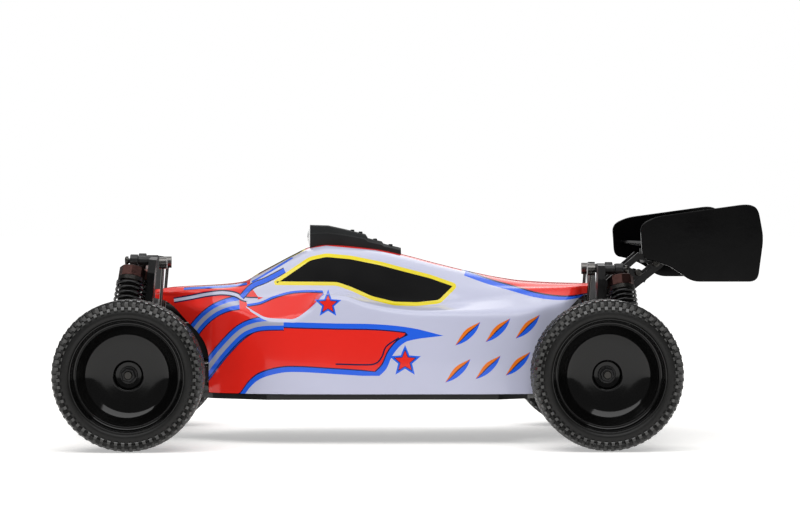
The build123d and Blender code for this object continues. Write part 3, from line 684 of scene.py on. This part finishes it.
# X, then the half width and height of the waist and of the valley above it
SIDE_STATIONS = (
    (-130, 10, 85.5, 9.5, 88.2), (-121, 13.4, 84, 12.8, 87.6), (-110, 21, 80.4, 18, 87),
    (-100, 33, 79.8, 23, 86.8), (-93, 43, 80.8, 30, 87.4), (-84, 49.6, 81.6, 34, 87),
    (-76, 54, 79.6, 37, 86), (-66, 57.4, 75.3, 40, 86.6), (-55, 60, 73.6, 42, 88.8),
    (-44, 61, 74, 44, 90), (-34, 60.6, 80, 45, 90.2), (-26, 60, 88.6, 45, 90.4),
    (-16, 60, 88.4, 45, 89.6), (0, 61, 83.4, 44.4, 86.4), (16, 61.6, 80.2, 44, 83.6),
    (32, 62, 78.8, 43.4, 82.4), (62, 62, 78.6, 40.6, 84.6), (86, 60, 78.8, 35.6, 88),
    (100, 56, 80.4, 32.4, 89.4), (112, 47, 82.6, 30, 90.2), (118, 42, 83.4, 28.6, 90.6),
    (126, 29, 86, 24, 91.2), (131.5, 17, 87.6, 16.4, 91.6), (136.3, 14.5, 88.6, 14, 91.8),
)
# X, then the half width and height of the roof's edge and crown, then the height of its ridge
ROOF_STATIONS = (
    (-130, 8, 89.8, 4.5, 90.5, 90.7), (-118, 12.4, 91, 7, 92.2, 92.5),
    (-104, 17, 91.8, 10, 92.9, 93.2), (-90, 22.6, 92.4, 12.6, 93.6, 94),
    (-76, 27, 93.6, 14.4, 95.2, 95.8), (-66, 29, 98.4, 15.4, 100.6, 101.4),
    (-56, 30, 103, 16, 106, 106.8), (-45, 30.4, 108, 16.2, 111.8, 112.6),
    (-35, 30.2, 111.6, 16.2, 116.4, 117.2), (-25, 30, 113.4, 16, 118.3, 118.9),
    (5, 29.4, 110.6, 15.6, 115.6, 116.2), (24, 28.6, 105.8, 15, 111.4, 112),
    (40, 27.6, 101.2, 14.6, 107.2, 107.7), (62, 25.8, 96.6, 13.6, 101.8, 102.2),
    (82, 24.6, 93.6, 12.4, 97.8, 98.1), (95, 24, 92.8, 12, 96, 96.3),
    (118, 21.6, 92.6, 11, 94.7, 94.9), (126, 19, 92.9, 10, 94.5, 94.7),
    (131.5, 13.5, 93.2, 8, 94.4, 94.6), (136.3, 11.5, 93.2, 7, 94.3, 94.5),
)
WAIST = [(x, wide, high) for x, wide, high, _, _ in SIDE_STATIONS]
VALLEY = [(x, wide, high) for x, _, _, wide, high in SIDE_STATIONS]
EDGE = [(x, wide, high) for x, wide, high, _, _, _ in ROOF_STATIONS]
CROWN = [(x, wide, high) for x, _, _, wide, high, _ in ROOF_STATIONS]
RIDGE = [(x, 0, high) for x, _, _, _, _, high in ROOF_STATIONS]
SHELL_START = -130.0
SHELL_END = 136.3
SHELL_STEP = 2.05
# The windscreen lies between the crown lines. CROWN_LANE is how many faces up they are.
CROWN_LANE = 48
LAST_LANE = 107
WINDSCREEN_COLUMNS = (30, 44)

FRONT_CUT = ((-140, 20), (-95.5, 20), (-95.4, 40), (-96.2, 55), (-101.6, 64.5), (-110.5, 72.9), (-118,
                                                                                                 80.8),
             (-124, 84.6), (-140, 88.4))
REAR_CUT = ((101, 20), (101, 42), (104.5, 57), (110.5, 68), (118.6, 76.8), (128.5, 85.6), (136, 88.9),
            (145, 90),
            (145, 20))


def smooth_at(line, x):
    """Half width and height of a line at X, on a curve that never swings past its points."""
    count = len(line)
    index = 0
    while index < count - 2 and x > line[index + 1][0]:
        index += 1
    x0, x1 = line[index][0], line[index + 1][0]
    t = min(1, max(0, (x - x0) / (x1 - x0)))
    values = []
    for part in (1, 2):
        def slope(i):
            """The slope at a point of the line, level where the line turns."""
            if i == 0 or i == count - 1:
                return 0
            before = (line[i][part] - line[i - 1][part]) / (line[i][0] - line[i - 1][0])
            after = (line[i + 1][part] - line[i][part]) / (line[i + 1][0] - line[i][0])
            if before * after <= 0:
                return 0
            return 2 * before * after / (before + after)
        low = line[index][part]
        high = line[index + 1][part]
        span = x1 - x0
        m0 = slope(index) if index else (high - low) / span
        m1 = slope(index + 1) if index + 1 < count - 1 else (high - low) / span
        values.append(low * (2 * t**3 - 3 * t**2 + 1) + m0 * span * (t**3 - 2 * t**2 + t)
                      + high * (3 * t**2 - 2 * t**3) + m1 * span * (t**3 - t**2))
    return values


def shell_grid():
    """Rows of points along the shell. Each row runs over the roof from the left sill to the right."""
    steps = round((SHELL_END - SHELL_START) / SHELL_STEP)
    parts = ((SILL, WAIST, 22, 1.6), (WAIST, VALLEY, 8, 0.0), (VALLEY, EDGE, 12, 1.2), (EDGE, CROWN, 6,
                                                                                        0.9),
             (CROWN, RIDGE, 6, 0.35))
    rows = []
    for step in range(steps + 1):
        x = SHELL_START + (SHELL_END - SHELL_START) * step / steps
        half = []
        for low_line, high_line, count, bulge in parts:
            low = Vector(smooth_at(low_line, x))
            high = Vector(smooth_at(high_line, x))
            run = high - low
            swell = Vector((run.y, -run.x)).normalized() * bulge if run.length else Vector((0, 0))
            for index in range(count):
                share = index / count
                half.append(low + run * share + swell * sin(pi * share))
        half.append(Vector(smooth_at(RIDGE, x)))
        # Rounds the creases across the shell.
        for _ in range(2):
            half = [half[0]] + [(a + b * 2 + c) / 4 for a, b, c in zip(half, half[1:],
                                                                       half[2:])] + [half[-1]]
        row = [(-p.x, p.y) for p in half] + [(p.x, p.y) for p in reversed(half[:-1])]
        rows.append([Vector((MID_X + x, y, z)) for y, z in row])
    return rows


def strip(upper, lower):
    """A closed outline from a curve and the curve that faces it."""
    return list(upper) + list(reversed(lower))


def shifted(points, by):
    """A line of points moved along and up."""
    return [point + Vector(by) for point in points]


def star(x, z, size, turn):
    """A regular five-pointed star."""
    points = []
    for corner in range(10):
        angle = radians(turn) + FULL_TURN * corner / 10
        reach = size if corner % 2 == 0 else size * 0.45
        points.append((x + reach * cos(angle), z + reach * sin(angle)))
    return points


def banded(points, layers):
    """A stripe along a curve, as layers of paint from the widest down: (material, half width)."""
    line = curve_through(points, 2)
    sides = []
    for index, point in enumerate(line):
        ahead = (line[min(index + 1, len(line) - 1)] - line[max(index - 1, 0)]).normalized()
        sides.append(Vector((-ahead.y, ahead.x)))
    made = []
    for shade, half in layers:
        upper = [point + side * half for point, side in zip(line, sides)]
        lower = [point - side * half for point, side in zip(line, sides)]
        made.append((shade, strip(upper, lower)))
    return made


def paint_plan():
    """The paint seen from the side, back layer first: (material, closed outline of (X, Z))."""
    plan = []

    # The nose, hood and front fender are red.
    plan.append(("red", [(-140, 20), (-72.5, 20), (-72.5, 34), (-64, 41.5), (-50, 46), (-20, 47), (-20,
                                                                                                   70),
                         (-44, 72.0), (-26.5, 90.5), (-40, 90.2), (-52, 88), (-60, 86.5), (-66, 87.5),
                         (-71, 94), (-71, 98), (-140, 100)]))

    # A banded stripe climbs from the wheel arch to the hollow behind the fender.
    plan += banded([(-108, 62), (-104, 68), (-99.8, 72.8), (-95, 77), (-90, 80.2), (-83.5, 82.8), (-77,
                                                                                                   84.0)],
                   (("navy", 4.2), ("blue", 3.6), ("grey", 1.3)))
    # Narrow strokes mark the edges of the hood. The first is navy with a pale core, and the pale core is a
    # painted highlight along the fender's top crease.
    plan += banded([(-118, 84.6), (-108, 86.4), (-98, 88.4), (-88, 89.6), (-80, 88.6), (-74, 86.0), (-66,
                                                                                                     85.6)],
                   (("navy", 1.7), ("pale", 0.9)))
    plan += banded([(-112, 91.6), (-98, 92.6), (-84, 93.4), (-73, 95.0)], (("navy", 0.9), ("blue", 0.5)))

    # The cabin is pale above a line that runs from the windscreen's foot to the tail.
    plan.append(("pale", [(-71, 96.4), (-68, 91.0), (-62, 88.4), (-56, 88.2), (-50, 90), (-40, 91.4),
                          (-26, 90.6),
                          (-20, 80), (-16, 74), (136.3, 74), (150, 80), (150, 130), (-30, 130), (-71,
                                                                                                 97.4)]))
    # Two plain strokes rise beside the windscreen.
    plan += banded([(-76, 87.0), (-72, 91.6), (-68, 94.6), (-61, 97.4), (-50, 103.2)],
                   (("navy", 1.9), ("blue", 1.3)))
    plan += banded([(-70, 96.0), (-61, 101.2), (-45.5, 110.8)], (("blue", 0.6),))

    # A long dart: blue edge, navy line, red field.
    edge = curve_through([(-97, 38), (-90, 47.6), (-82, 57.4), (-73, 66.4), (-64, 71.4), (-54, 72.9),
                          (-40, 72.6),
                          (-20, 72.1), (5, 71.6), (26, 69.4), (45, 64.8)], 2)
    tail = curve_through([(45, 64.8), (28, 62.6), (20.8, 60.0), (14.8, 53.2), (11.2, 45.4), (7.0, 41.0)],
                         2)
    foot = curve_through([(-3, 41), (-25, 42.4), (-40, 43.2), (-51, 42.8), (-62.6, 39.6), (-69.4, 34.6),
                          (-75, 27)], 2)
    plan.append(("pale", [(-76, 28), (-66, 36), (-50, 42), (-20, 40), (10, 40), (46, 62), (150, 76), (150,
                                                                                                      20),
                          (-76, 20)]))
    plan.append(("blue", [*edge, *tail, *foot, (-100, 20)]))
    for shade, drop in (("navy", 3.0), ("red", 3.7)):
        upper = [point - Vector((0, drop)) for point in edge if point.x < 24]
        back = [Vector((33 - 3 * drop, 65.2)), *(point + Vector((-drop * 0.8,
                                                                 drop * 0.75)) for point in tail
                                                if point.x < 24)]
        under = [point + Vector((-drop * 0.3, drop)) for point in foot]
        plan.append((shade, [*upper, *back, *under, (-99, 20)]))
    plan += banded([(-19, 48), (-4, 47.6), (4.4, 48.2), (8.4, 52.2), (11.0, 58.4), (18.6, 63.6)],
                   (("navy", 0.45),))

    # A second banded stripe crosses the fender and runs into the dart.
    plan += banded([(-102, 37), (-95.4, 45.2), (-88, 54.6), (-77.5, 65.6), (-70, 70.0), (-62, 71.8), (-50,
                                                                                                      72.2)],
                   (("navy", 4.4), ("blue", 3.8), ("grey", 1.4)))

    # The hollow behind the fender is a red leaf with navy and blue borders. Its outer pale border is a
    # painted highlight where the edges of the hollow turn.
    leaf_top = curve_through([(-72, 81.4), (-64, 82.8), (-56, 86.2), (-46, 89.0), (-36, 89.8), (-26.5,
                                                                                                89.6)], 2)
    leaf_low = [(-72, 81.0), (-66, 77.4), (-60, 75.0), (-50, 74.6), (-43, 75.0), (-34, 81.4), (-26.5,
                                                                                               89.6)]
    leaf_low = curve_through(leaf_low, 2)
    for shade, rise, drop in (("pale", (-1, 3.2), (1.8, -1.9)), ("blue", (-0.5, 1.7), (0.4, -0.5)),
                              ("navy", (-0.2, 0.6), (0, 0)), ("red", (0, 0), (0, 0))):
        plan.append((shade, strip(shifted(leaf_top, rise), shifted(leaf_low, drop))))
    # A thin pale line along the leaf's lower fold is a painted highlight on that crease.
    fold_highlight_top = [(-73, 82.0), (-66, 78.0), (-60, 75.4), (-50, 74.8), (-42.6, 75.2), (-33.4, 81.8), (-27,
                                                                                                    88.6)]
    fold_highlight_bottom = [(-72.6, 81.2), (-66, 76.9), (-60, 74.2), (-50, 73.6), (-42, 74.0), (-32.8, 80.6), (-26.2,
                                                                                                   88.0)]
    plan.append(("pale", strip(curve_through(fold_highlight_top, 2), curve_through(fold_highlight_bottom, 2))))

    # Plain tapered flashes slant up over the rear of the side in two even rows: orange, navy, blue.
    for row in range(2):
        for index in range(3):
            start = Vector((46 + 18 * index + 6 * row, 37 + 22 * row + 2 * index))
            spine = curve_through([start, start + Vector((6, 9)), start + Vector((15, 14))], 2)
            for shade, near, far in (("blue", 2.4, 5.2), ("navy", 1.8, 2.6), ("orange", 0.0, 2.0)):
                upper = []
                lower = []
                for step, point in enumerate(spine):
                    across = Vector((0.7, -0.75)) * sin(pi * step / (len(spine) - 1))
                    upper.append(point + across * near)
                    lower.append(point + across * far)
                plan.append((shade, strip(upper, lower)))

    # A red and blue stripe along the tail.
    tail_low = curve_through([(62, 101.4), (76, 96.4), (88, 93.0), (102, 89.0), (114, 87.2), (124, 87.0),
                              (134, 88.0)], 2)
    tail_high = [Vector((62, 106)), Vector((75, 101)), Vector((100, 98)), Vector((140, 97))]
    plan.append(("blue", strip(tail_high, [p + Vector((-3.0, -1.6)) for p in tail_low])))
    plan.append(("navy", strip(tail_high, [p + Vector((0.4, 0.2)) for p in tail_low])))
    plan.append(("red", strip(tail_high, [p + Vector((0.8, 1.0)) for p in tail_low])))
    roof = [(-80, 97.6), (-56, 109.4), (-35, 119.4), (-20, 121), (5, 119), (20, 116), (58, 106)]
    roof_low = [(-80, 93.4), (-66, 99.6), (-45, 111.0), (-35, 115.6), (-25, 117.2), (5, 114.4), (24,
                                                                                                 110.3),
                (40, 106.0), (58, 101.7)]
    plan.append(("red", strip(roof, [(x, z + 0.8) for x, z in roof_low])))

    # Two plain stars, red with navy and blue borders.
    for x, z, size in ((-23.6, 83.4, 6.0), (22.2, 49.6, 7.0)):
        for shade, share in (("blue", 1.4), ("navy", 1.02), ("red", 0.88)):
            plan.append((shade, star(x, z, size * share, 90)))

    # The side window, black with a yellow border.
    glass = [(-56.4, 95.5), (-35, 110.2), (-25, 112.4), (-10, 111.0), (7.8, 107.4), (22, 103.6),
             (38.3, 99.4), (53.6, 94.0), (43.4, 84.4), (30, 83.0), (16, 83.4), (2.3, 86.8), (-10, 92.3),
             (-18.3, 95.2), (-36, 95.4)]
    glass = soften(glass, 2.0, 3, True)
    middle = Vector((0, 97.5))
    border = []
    for index, point in enumerate(glass):
        ahead = (glass[(index + 1) % len(glass)] - glass[index - 1]).normalized()
        border.append(point + Vector((-ahead.y, ahead.x)) * 1.1)
    if sum((b - middle).length - (g - middle).length for b, g in zip(border, glass)) < 0:
        border = [g * 2 - b for b, g in zip(border, glass)]
    inside = [g * 2 - b for b, g in zip(border, glass)]
    plan.append(("yellow", border))
    plan.append(("window", inside))
    return plan


def inside_outline(outline, x, z):
    """True if (x, z) lies in a closed outline."""
    hit = False
    for a, b in zip(outline, outline[1:] + outline[:1]):
        if (a[1] > z) != (b[1] > z) and x < a[0] + (z - a[1]) / (b[1] - a[1]) * (b[0] - a[0]):
            hit = not hit
    return hit


def cut_along(mesh, columns, outline):
    """Cuts the shell's faces along the sides of an outline of (X, Z) points.

    Columns holds the faces that stand over each step along the car."""
    marker = mesh.faces.layers.int["column"]
    points = [Vector(point) for point in outline]
    for a, b in zip(points, points[1:] + points[:1]):
        run = b - a
        if run.length < 0.05:
            continue
        left, right = sorted((a.x, b.x))
        bottom, top = sorted((a.y, b.y))
        normal = Vector((-run.y, 0, run.x)).normalized()
        first = int((left - SHELL_START) / SHELL_STEP) - 1
        last = int((right - SHELL_START) / SHELL_STEP) + 1
        near = []
        for column in range(max(0, first), min(len(columns) - 1, last) + 1):
            for face in columns[column]:
                places = [vert.co for vert in face.verts]
                heights = [place.z for place in places]
                if max(heights) < bottom or min(heights) > top:
                    continue
                alongs = [place.x - MID_X for place in places]
                if max(alongs) < left or min(alongs) > right:
                    continue
                reach = [(x - a.x) * normal.x + (z - a.y) * normal.z for x, z in zip(alongs, heights)]
                if min(reach) < -1e-4 and max(reach) > 1e-4:
                    near.append(face)
        if not near:
            continue
        geometry = set(near)
        touched = {face[marker] for face in near}
        for face in near:
            geometry.update(face.edges)
            geometry.update(face.verts)
        made = bmesh.ops.bisect_plane(mesh, geom=list(geometry), dist=0.001, plane_co=(a.x + MID_X, 0,
                                                                                       a.y),
                                      plane_no=normal)
        for column in touched:
            columns[column] = {face for face in columns[column] if face.is_valid}
        for item in made["geom"]:
            if isinstance(item, bmesh.types.BMFace):
                columns[item[marker]].add(item)


def make_shell():
    """The painted shell: one skin cut along every edge of the paint, with an inner face and a rim."""
    rows = shell_grid()
    mesh = bmesh.new()
    lanes = mesh.faces.layers.int.new("lane")
    marker = mesh.faces.layers.int.new("column")
    lanes = mesh.faces.layers.int["lane"]
    grid = [[mesh.verts.new(point) for point in row] for row in rows]
    columns = [set() for _ in rows]
    for column, (a, b) in enumerate(zip(grid, grid[1:])):
        for i in range(len(a) - 1):
            face = mesh.faces.new((a[i], a[i + 1], b[i + 1], b[i]))
            face[marker] = column
            face[lanes] = i
            columns[column].add(face)
    # The upright ends of the tail and nose are closed with strips across the car.
    for end, column in ((grid[0], 0), (grid[-1], len(rows) - 1)):
        for i in range(len(end) // 2 - 1):
            j = len(end) - 1 - i
            face = mesh.faces.new((end[i], end[i + 1], end[j - 1], end[j]))
            face[marker] = column
            columns[column].add(face)
    bmesh.ops.recalc_face_normals(mesh, faces=mesh.faces)

    for cut in (FRONT_CUT, REAR_CUT):
        outline = [Vector(point) for point in curve_through(cut[1:-1], 3)]
        outline = [Vector(cut[0])] + outline + [Vector(cut[-1])]
        cut_along(mesh, columns, outline)
        gone = []
        for face in mesh.faces:
            middle = face.calc_center_median()
            if inside_outline(outline, middle.x - MID_X, middle.z):
                gone.append(face)
        bmesh.ops.delete(mesh, geom=gone, context="FACES")
        columns = [{face for face in column if face.is_valid} for column in columns]

    # The clean skin gives the normals, so that the paint's cuts leave no marks in the gloss.
    mesh.normal_update()
    clean = mesh.copy()
    clean.faces.ensure_lookup_table()
    tree = BVHTree.FromBMesh(clean)

    plan = paint_plan()
    names = sorted({name for name, _ in plan} | {"pale"})
    reaches = []
    for _, outline in plan:
        cut_along(mesh, columns, outline)
        xs, zs = zip(*outline)
        reaches.append((min(xs), max(xs), min(zs), max(zs)))
    top_down = list(zip(plan, reaches))[::-1]
    for face in mesh.faces:
        middle = face.calc_center_median()
        x = middle.x - MID_X
        z = middle.z
        face.material_index = names.index("pale")
        for (name, outline), (left, right, bottom, top) in top_down:
            if left < x < right and bottom < z < top and inside_outline(outline, x, z):
                face.material_index = names.index(name)
                break
        # The windscreen is black with a yellow border, like the side windows.
        first, last = WINDSCREEN_COLUMNS
        lane = min(face[lanes], LAST_LANE - face[lanes])
        if first <= face[marker] <= last and lane >= CROWN_LANE - 1:
            glass = first < face[marker] < last and lane >= CROWN_LANE
            face.material_index = names.index("window" if glass else "yellow")

    def true_normal(point):
        """The clean skin's smooth normal at a point."""
        place, _, index, _ = tree.find_nearest(point)
        face = clean.faces[index]
        total = Vector((0, 0, 0))
        for vert in face.verts:
            total += vert.normal / ((vert.co - place).length + 0.02)
        return total.normalized()

    mesh.verts.ensure_lookup_table()
    outer = list(mesh.verts)
    normals = {vert: true_normal(vert.co) for vert in outer}
    edges = [edge for edge in mesh.edges if len(edge.link_faces) == 1]
    skin = list(mesh.faces)
    inner = {vert: mesh.verts.new(vert.co - normals[vert] * SHELL_SKIN) for vert in outer}
    for face in skin:
        made = mesh.faces.new([inner[vert] for vert in reversed(face.verts)])
        made.material_index = face.material_index
    for edge in edges:
        a, b = edge.verts
        face = edge.link_faces[0]
        loop = next(loop for loop in face.loops if loop.edge == edge)
        first, second = loop.vert, loop.link_loop_next.vert
        made = mesh.faces.new((second, first, inner[first], inner[second]))
        made.material_index = face.material_index
        edge.smooth = False
    every = {}
    for vert in outer:
        every[vert] = normals[vert]
        every[inner[vert]] = -normals[vert]
    mesh.verts.index_update()
    ordered = [None] * len(mesh.verts)
    for vert, normal in every.items():
        ordered[vert.index] = normal
    rim_faces = len(edges)
    for vert in mesh.verts:
        vert.co *= MM
    for face in mesh.faces:
        face.smooth = True
    for face in list(mesh.faces)[-rim_faces:]:
        face.smooth = False
    data = bpy.data.meshes.new("body_shell_skin")
    mesh.to_mesh(data)
    clean.free()
    mesh.free()
    data.normals_split_custom_set_from_vertices([tuple(normal) for normal in ordered])
    shell = bpy.data.objects.new("body_shell_skin", data)
    bpy.context.collection.objects.link(shell)
    for name in names:
        data.materials.append(MATERIALS[name])
    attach(shell, "shell")
    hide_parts("body_shell")


# Pieces kept from the frame

KEPT = {
    "chassis_plate": "frame", "front_gear_case": "frame", "rear_gear_case": "frame",
    "front_shock_tower": "frame",
    "rear_shock_tower": "frame", "tower_brace_rods": "satin", "arm_hinge_pins": "steel",
    "steering_servo": "controller",
    "motor_plate": "anodised", "drive_motor": "motor", "battery_pack": "battery",
    "speed_controller": "controller",
    "wing_mount": "frame", "centre_shaft": "steel", "motor_pinion": "dark_steel",
    "steering_rack": "frame",
    "servo_horn": "frame",
}
KEPT_ENDINGS = {
    "_lower_arm": "frame", "_hub_bracket": "frame", "_knuckle": "frame", "_hub": "frame",
    "_camber_link": "dark_steel",
    "_tie_rod": "dark_steel", "_drive_shaft": "steel",
}


def dress_frame():
    """Gives each kept node its material and softened edges."""
    for name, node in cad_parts.items():
        shade = KEPT.get(name)
        for ending, material in KEPT_ENDINGS.items():
            if name.endswith(ending):
                shade = material
        if not shade:
            continue
        node.data.materials.clear()
        node.data.materials.append(MATERIALS[shade])
        bevel = node.modifiers.new("soft_edges", "BEVEL")
        bevel.width = 0.00035
        bevel.segments = 2
        bevel.limit_method = "ANGLE"
        bevel.angle_limit = radians(40)
        bevel.harden_normals = False


def make_small_parts():
    """Screws on the shock towers and the wing mount."""
    mesh = bmesh.new()
    for end in ("front", "rear"):
        out = -1 if end == "front" else 1
        for side in (-1, 1):
            at = (AXLE_X[end] + out * (SHOCK_TOP_OUT[end] + 3.6), side * SHOCK_TOP_Y, SHOCK_TOP_Z[end])
            hex_screw(mesh, at, (out, 0, 0), 2.7, 2.0)
    finish_piece("shock_top_screws", mesh, "chassis", [], ["dark_steel"])

    mount = bmesh.new()
    for y, way in ((-14, -1), (14, 1)):
        for x, z in ((MID_X + 166.2, 101.4), (MID_X + 177, 107.2)):
            hex_screw(mount, (x, y, z), (0, way, 0), 2.3, 1.6)
    finish_piece("wing_mount_screws", mount, "chassis", [], ["dark_steel"])


# Stage

def make_stage():
    """A pale floor, soft studio light and the camera."""
    floor_material, tree, shader = new_material("floor_pale", (0.9, 0.9, 0.9), 0.7, specular=0.2)
    tint(tree, shader, add_noise(tree, 3, 2), (0.88, 0.865, 0.84), (0.9, 0.885, 0.86))
    # The floor glows faintly near the car and fully in the distance, where it meets the backdrop.
    place = tree.nodes.new("ShaderNodeTexCoord")
    reach = tree.nodes.new("ShaderNodeVectorMath")
    reach.operation = "LENGTH"
    glow = tree.nodes.new("ShaderNodeMapRange")
    glow.interpolation_type = "SMOOTHSTEP"
    glow.inputs["From Min"].default_value = 0.5
    glow.inputs["From Max"].default_value = 3.2
    glow.inputs["To Min"].default_value = FLOOR_GLOW
    glow.inputs["To Max"].default_value = 0.95
    shader.inputs["Emission Color"].default_value = (1.0, 1.0, 1.0, 1.0)
    tree.links.new(place.outputs["Object"], reach.inputs[0])
    tree.links.new(reach.outputs["Value"], glow.inputs["Value"])
    tree.links.new(glow.outputs["Result"], shader.inputs["Emission Strength"])
    bpy.ops.mesh.primitive_plane_add(size=60, location=(0, 0, 0))
    floor = bpy.context.object
    floor.name = "studio_floor"
    floor.data.materials.append(floor_material)

    world = bpy.data.worlds.new("studio")
    bpy.context.scene.world = world
    world.use_nodes = True
    sky = world.node_tree.nodes["Background"]
    sky.inputs["Color"].default_value = (1.0, 1.0, 1.0, 1.0)
    # The backdrop is white to look at, and gives the car only a low, even light.
    rays = world.node_tree.nodes.new("ShaderNodeLightPath")
    level = world.node_tree.nodes.new("ShaderNodeMapRange")
    level.inputs["To Min"].default_value = ROOM_LIGHT
    level.inputs["To Max"].default_value = 1.0
    world.node_tree.links.new(rays.outputs["Is Camera Ray"], level.inputs["Value"])
    world.node_tree.links.new(level.outputs["Result"], sky.inputs["Strength"])

    lamps = (
        ("key_softbox", (-0.2, -0.7, 1.5), (0, 0, 0.05), 2.4, 1.1, 23.0),
        ("top_softbox", (0.1, 0.4, 1.5), (0, 0, 0.05), 2.4, 1.6, 11.0),
        ("back_softbox", (0.4, 1.4, 0.9), (0, 0, 0.06), 1.6, 0.9, 7.0),
    )
    for name, place, target, wide, deep, power in lamps:
        light = bpy.data.lights.new(name, "AREA")
        light.shape = "RECTANGLE"
        light.size = wide
        light.size_y = deep
        light.energy = power
        lamp = bpy.data.objects.new(name, light)
        lamp.location = place
        lamp.rotation_euler = (Vector(target) - Vector(place)).to_track_quat("-Z", "Y").to_euler()
        bpy.context.collection.objects.link(lamp)

    camera_data = bpy.data.cameras.new("camera")
    camera_data.sensor_width = 36.0
    camera_data.lens = CAMERA_LENS
    camera_data.clip_end = 100
    camera = bpy.data.objects.new("camera", camera_data)
    camera.location = CAMERA_PLACE
    camera.rotation_euler = (pi / 2 - LOOK_DOWN, 0, -TURN_RIGHT)
    bpy.context.collection.objects.link(camera)
    bpy.context.scene.camera = camera
    bpy.context.scene.view_settings.view_transform = "Standard"


for end in ("front", "rear"):
    for side_name in SIDES:
        make_tyre(end, side_name)
        make_rim(end, side_name)
        make_shock(end, side_name)
make_wing()
make_scoop()
make_shell()
dress_frame()
make_small_parts()
make_stage()
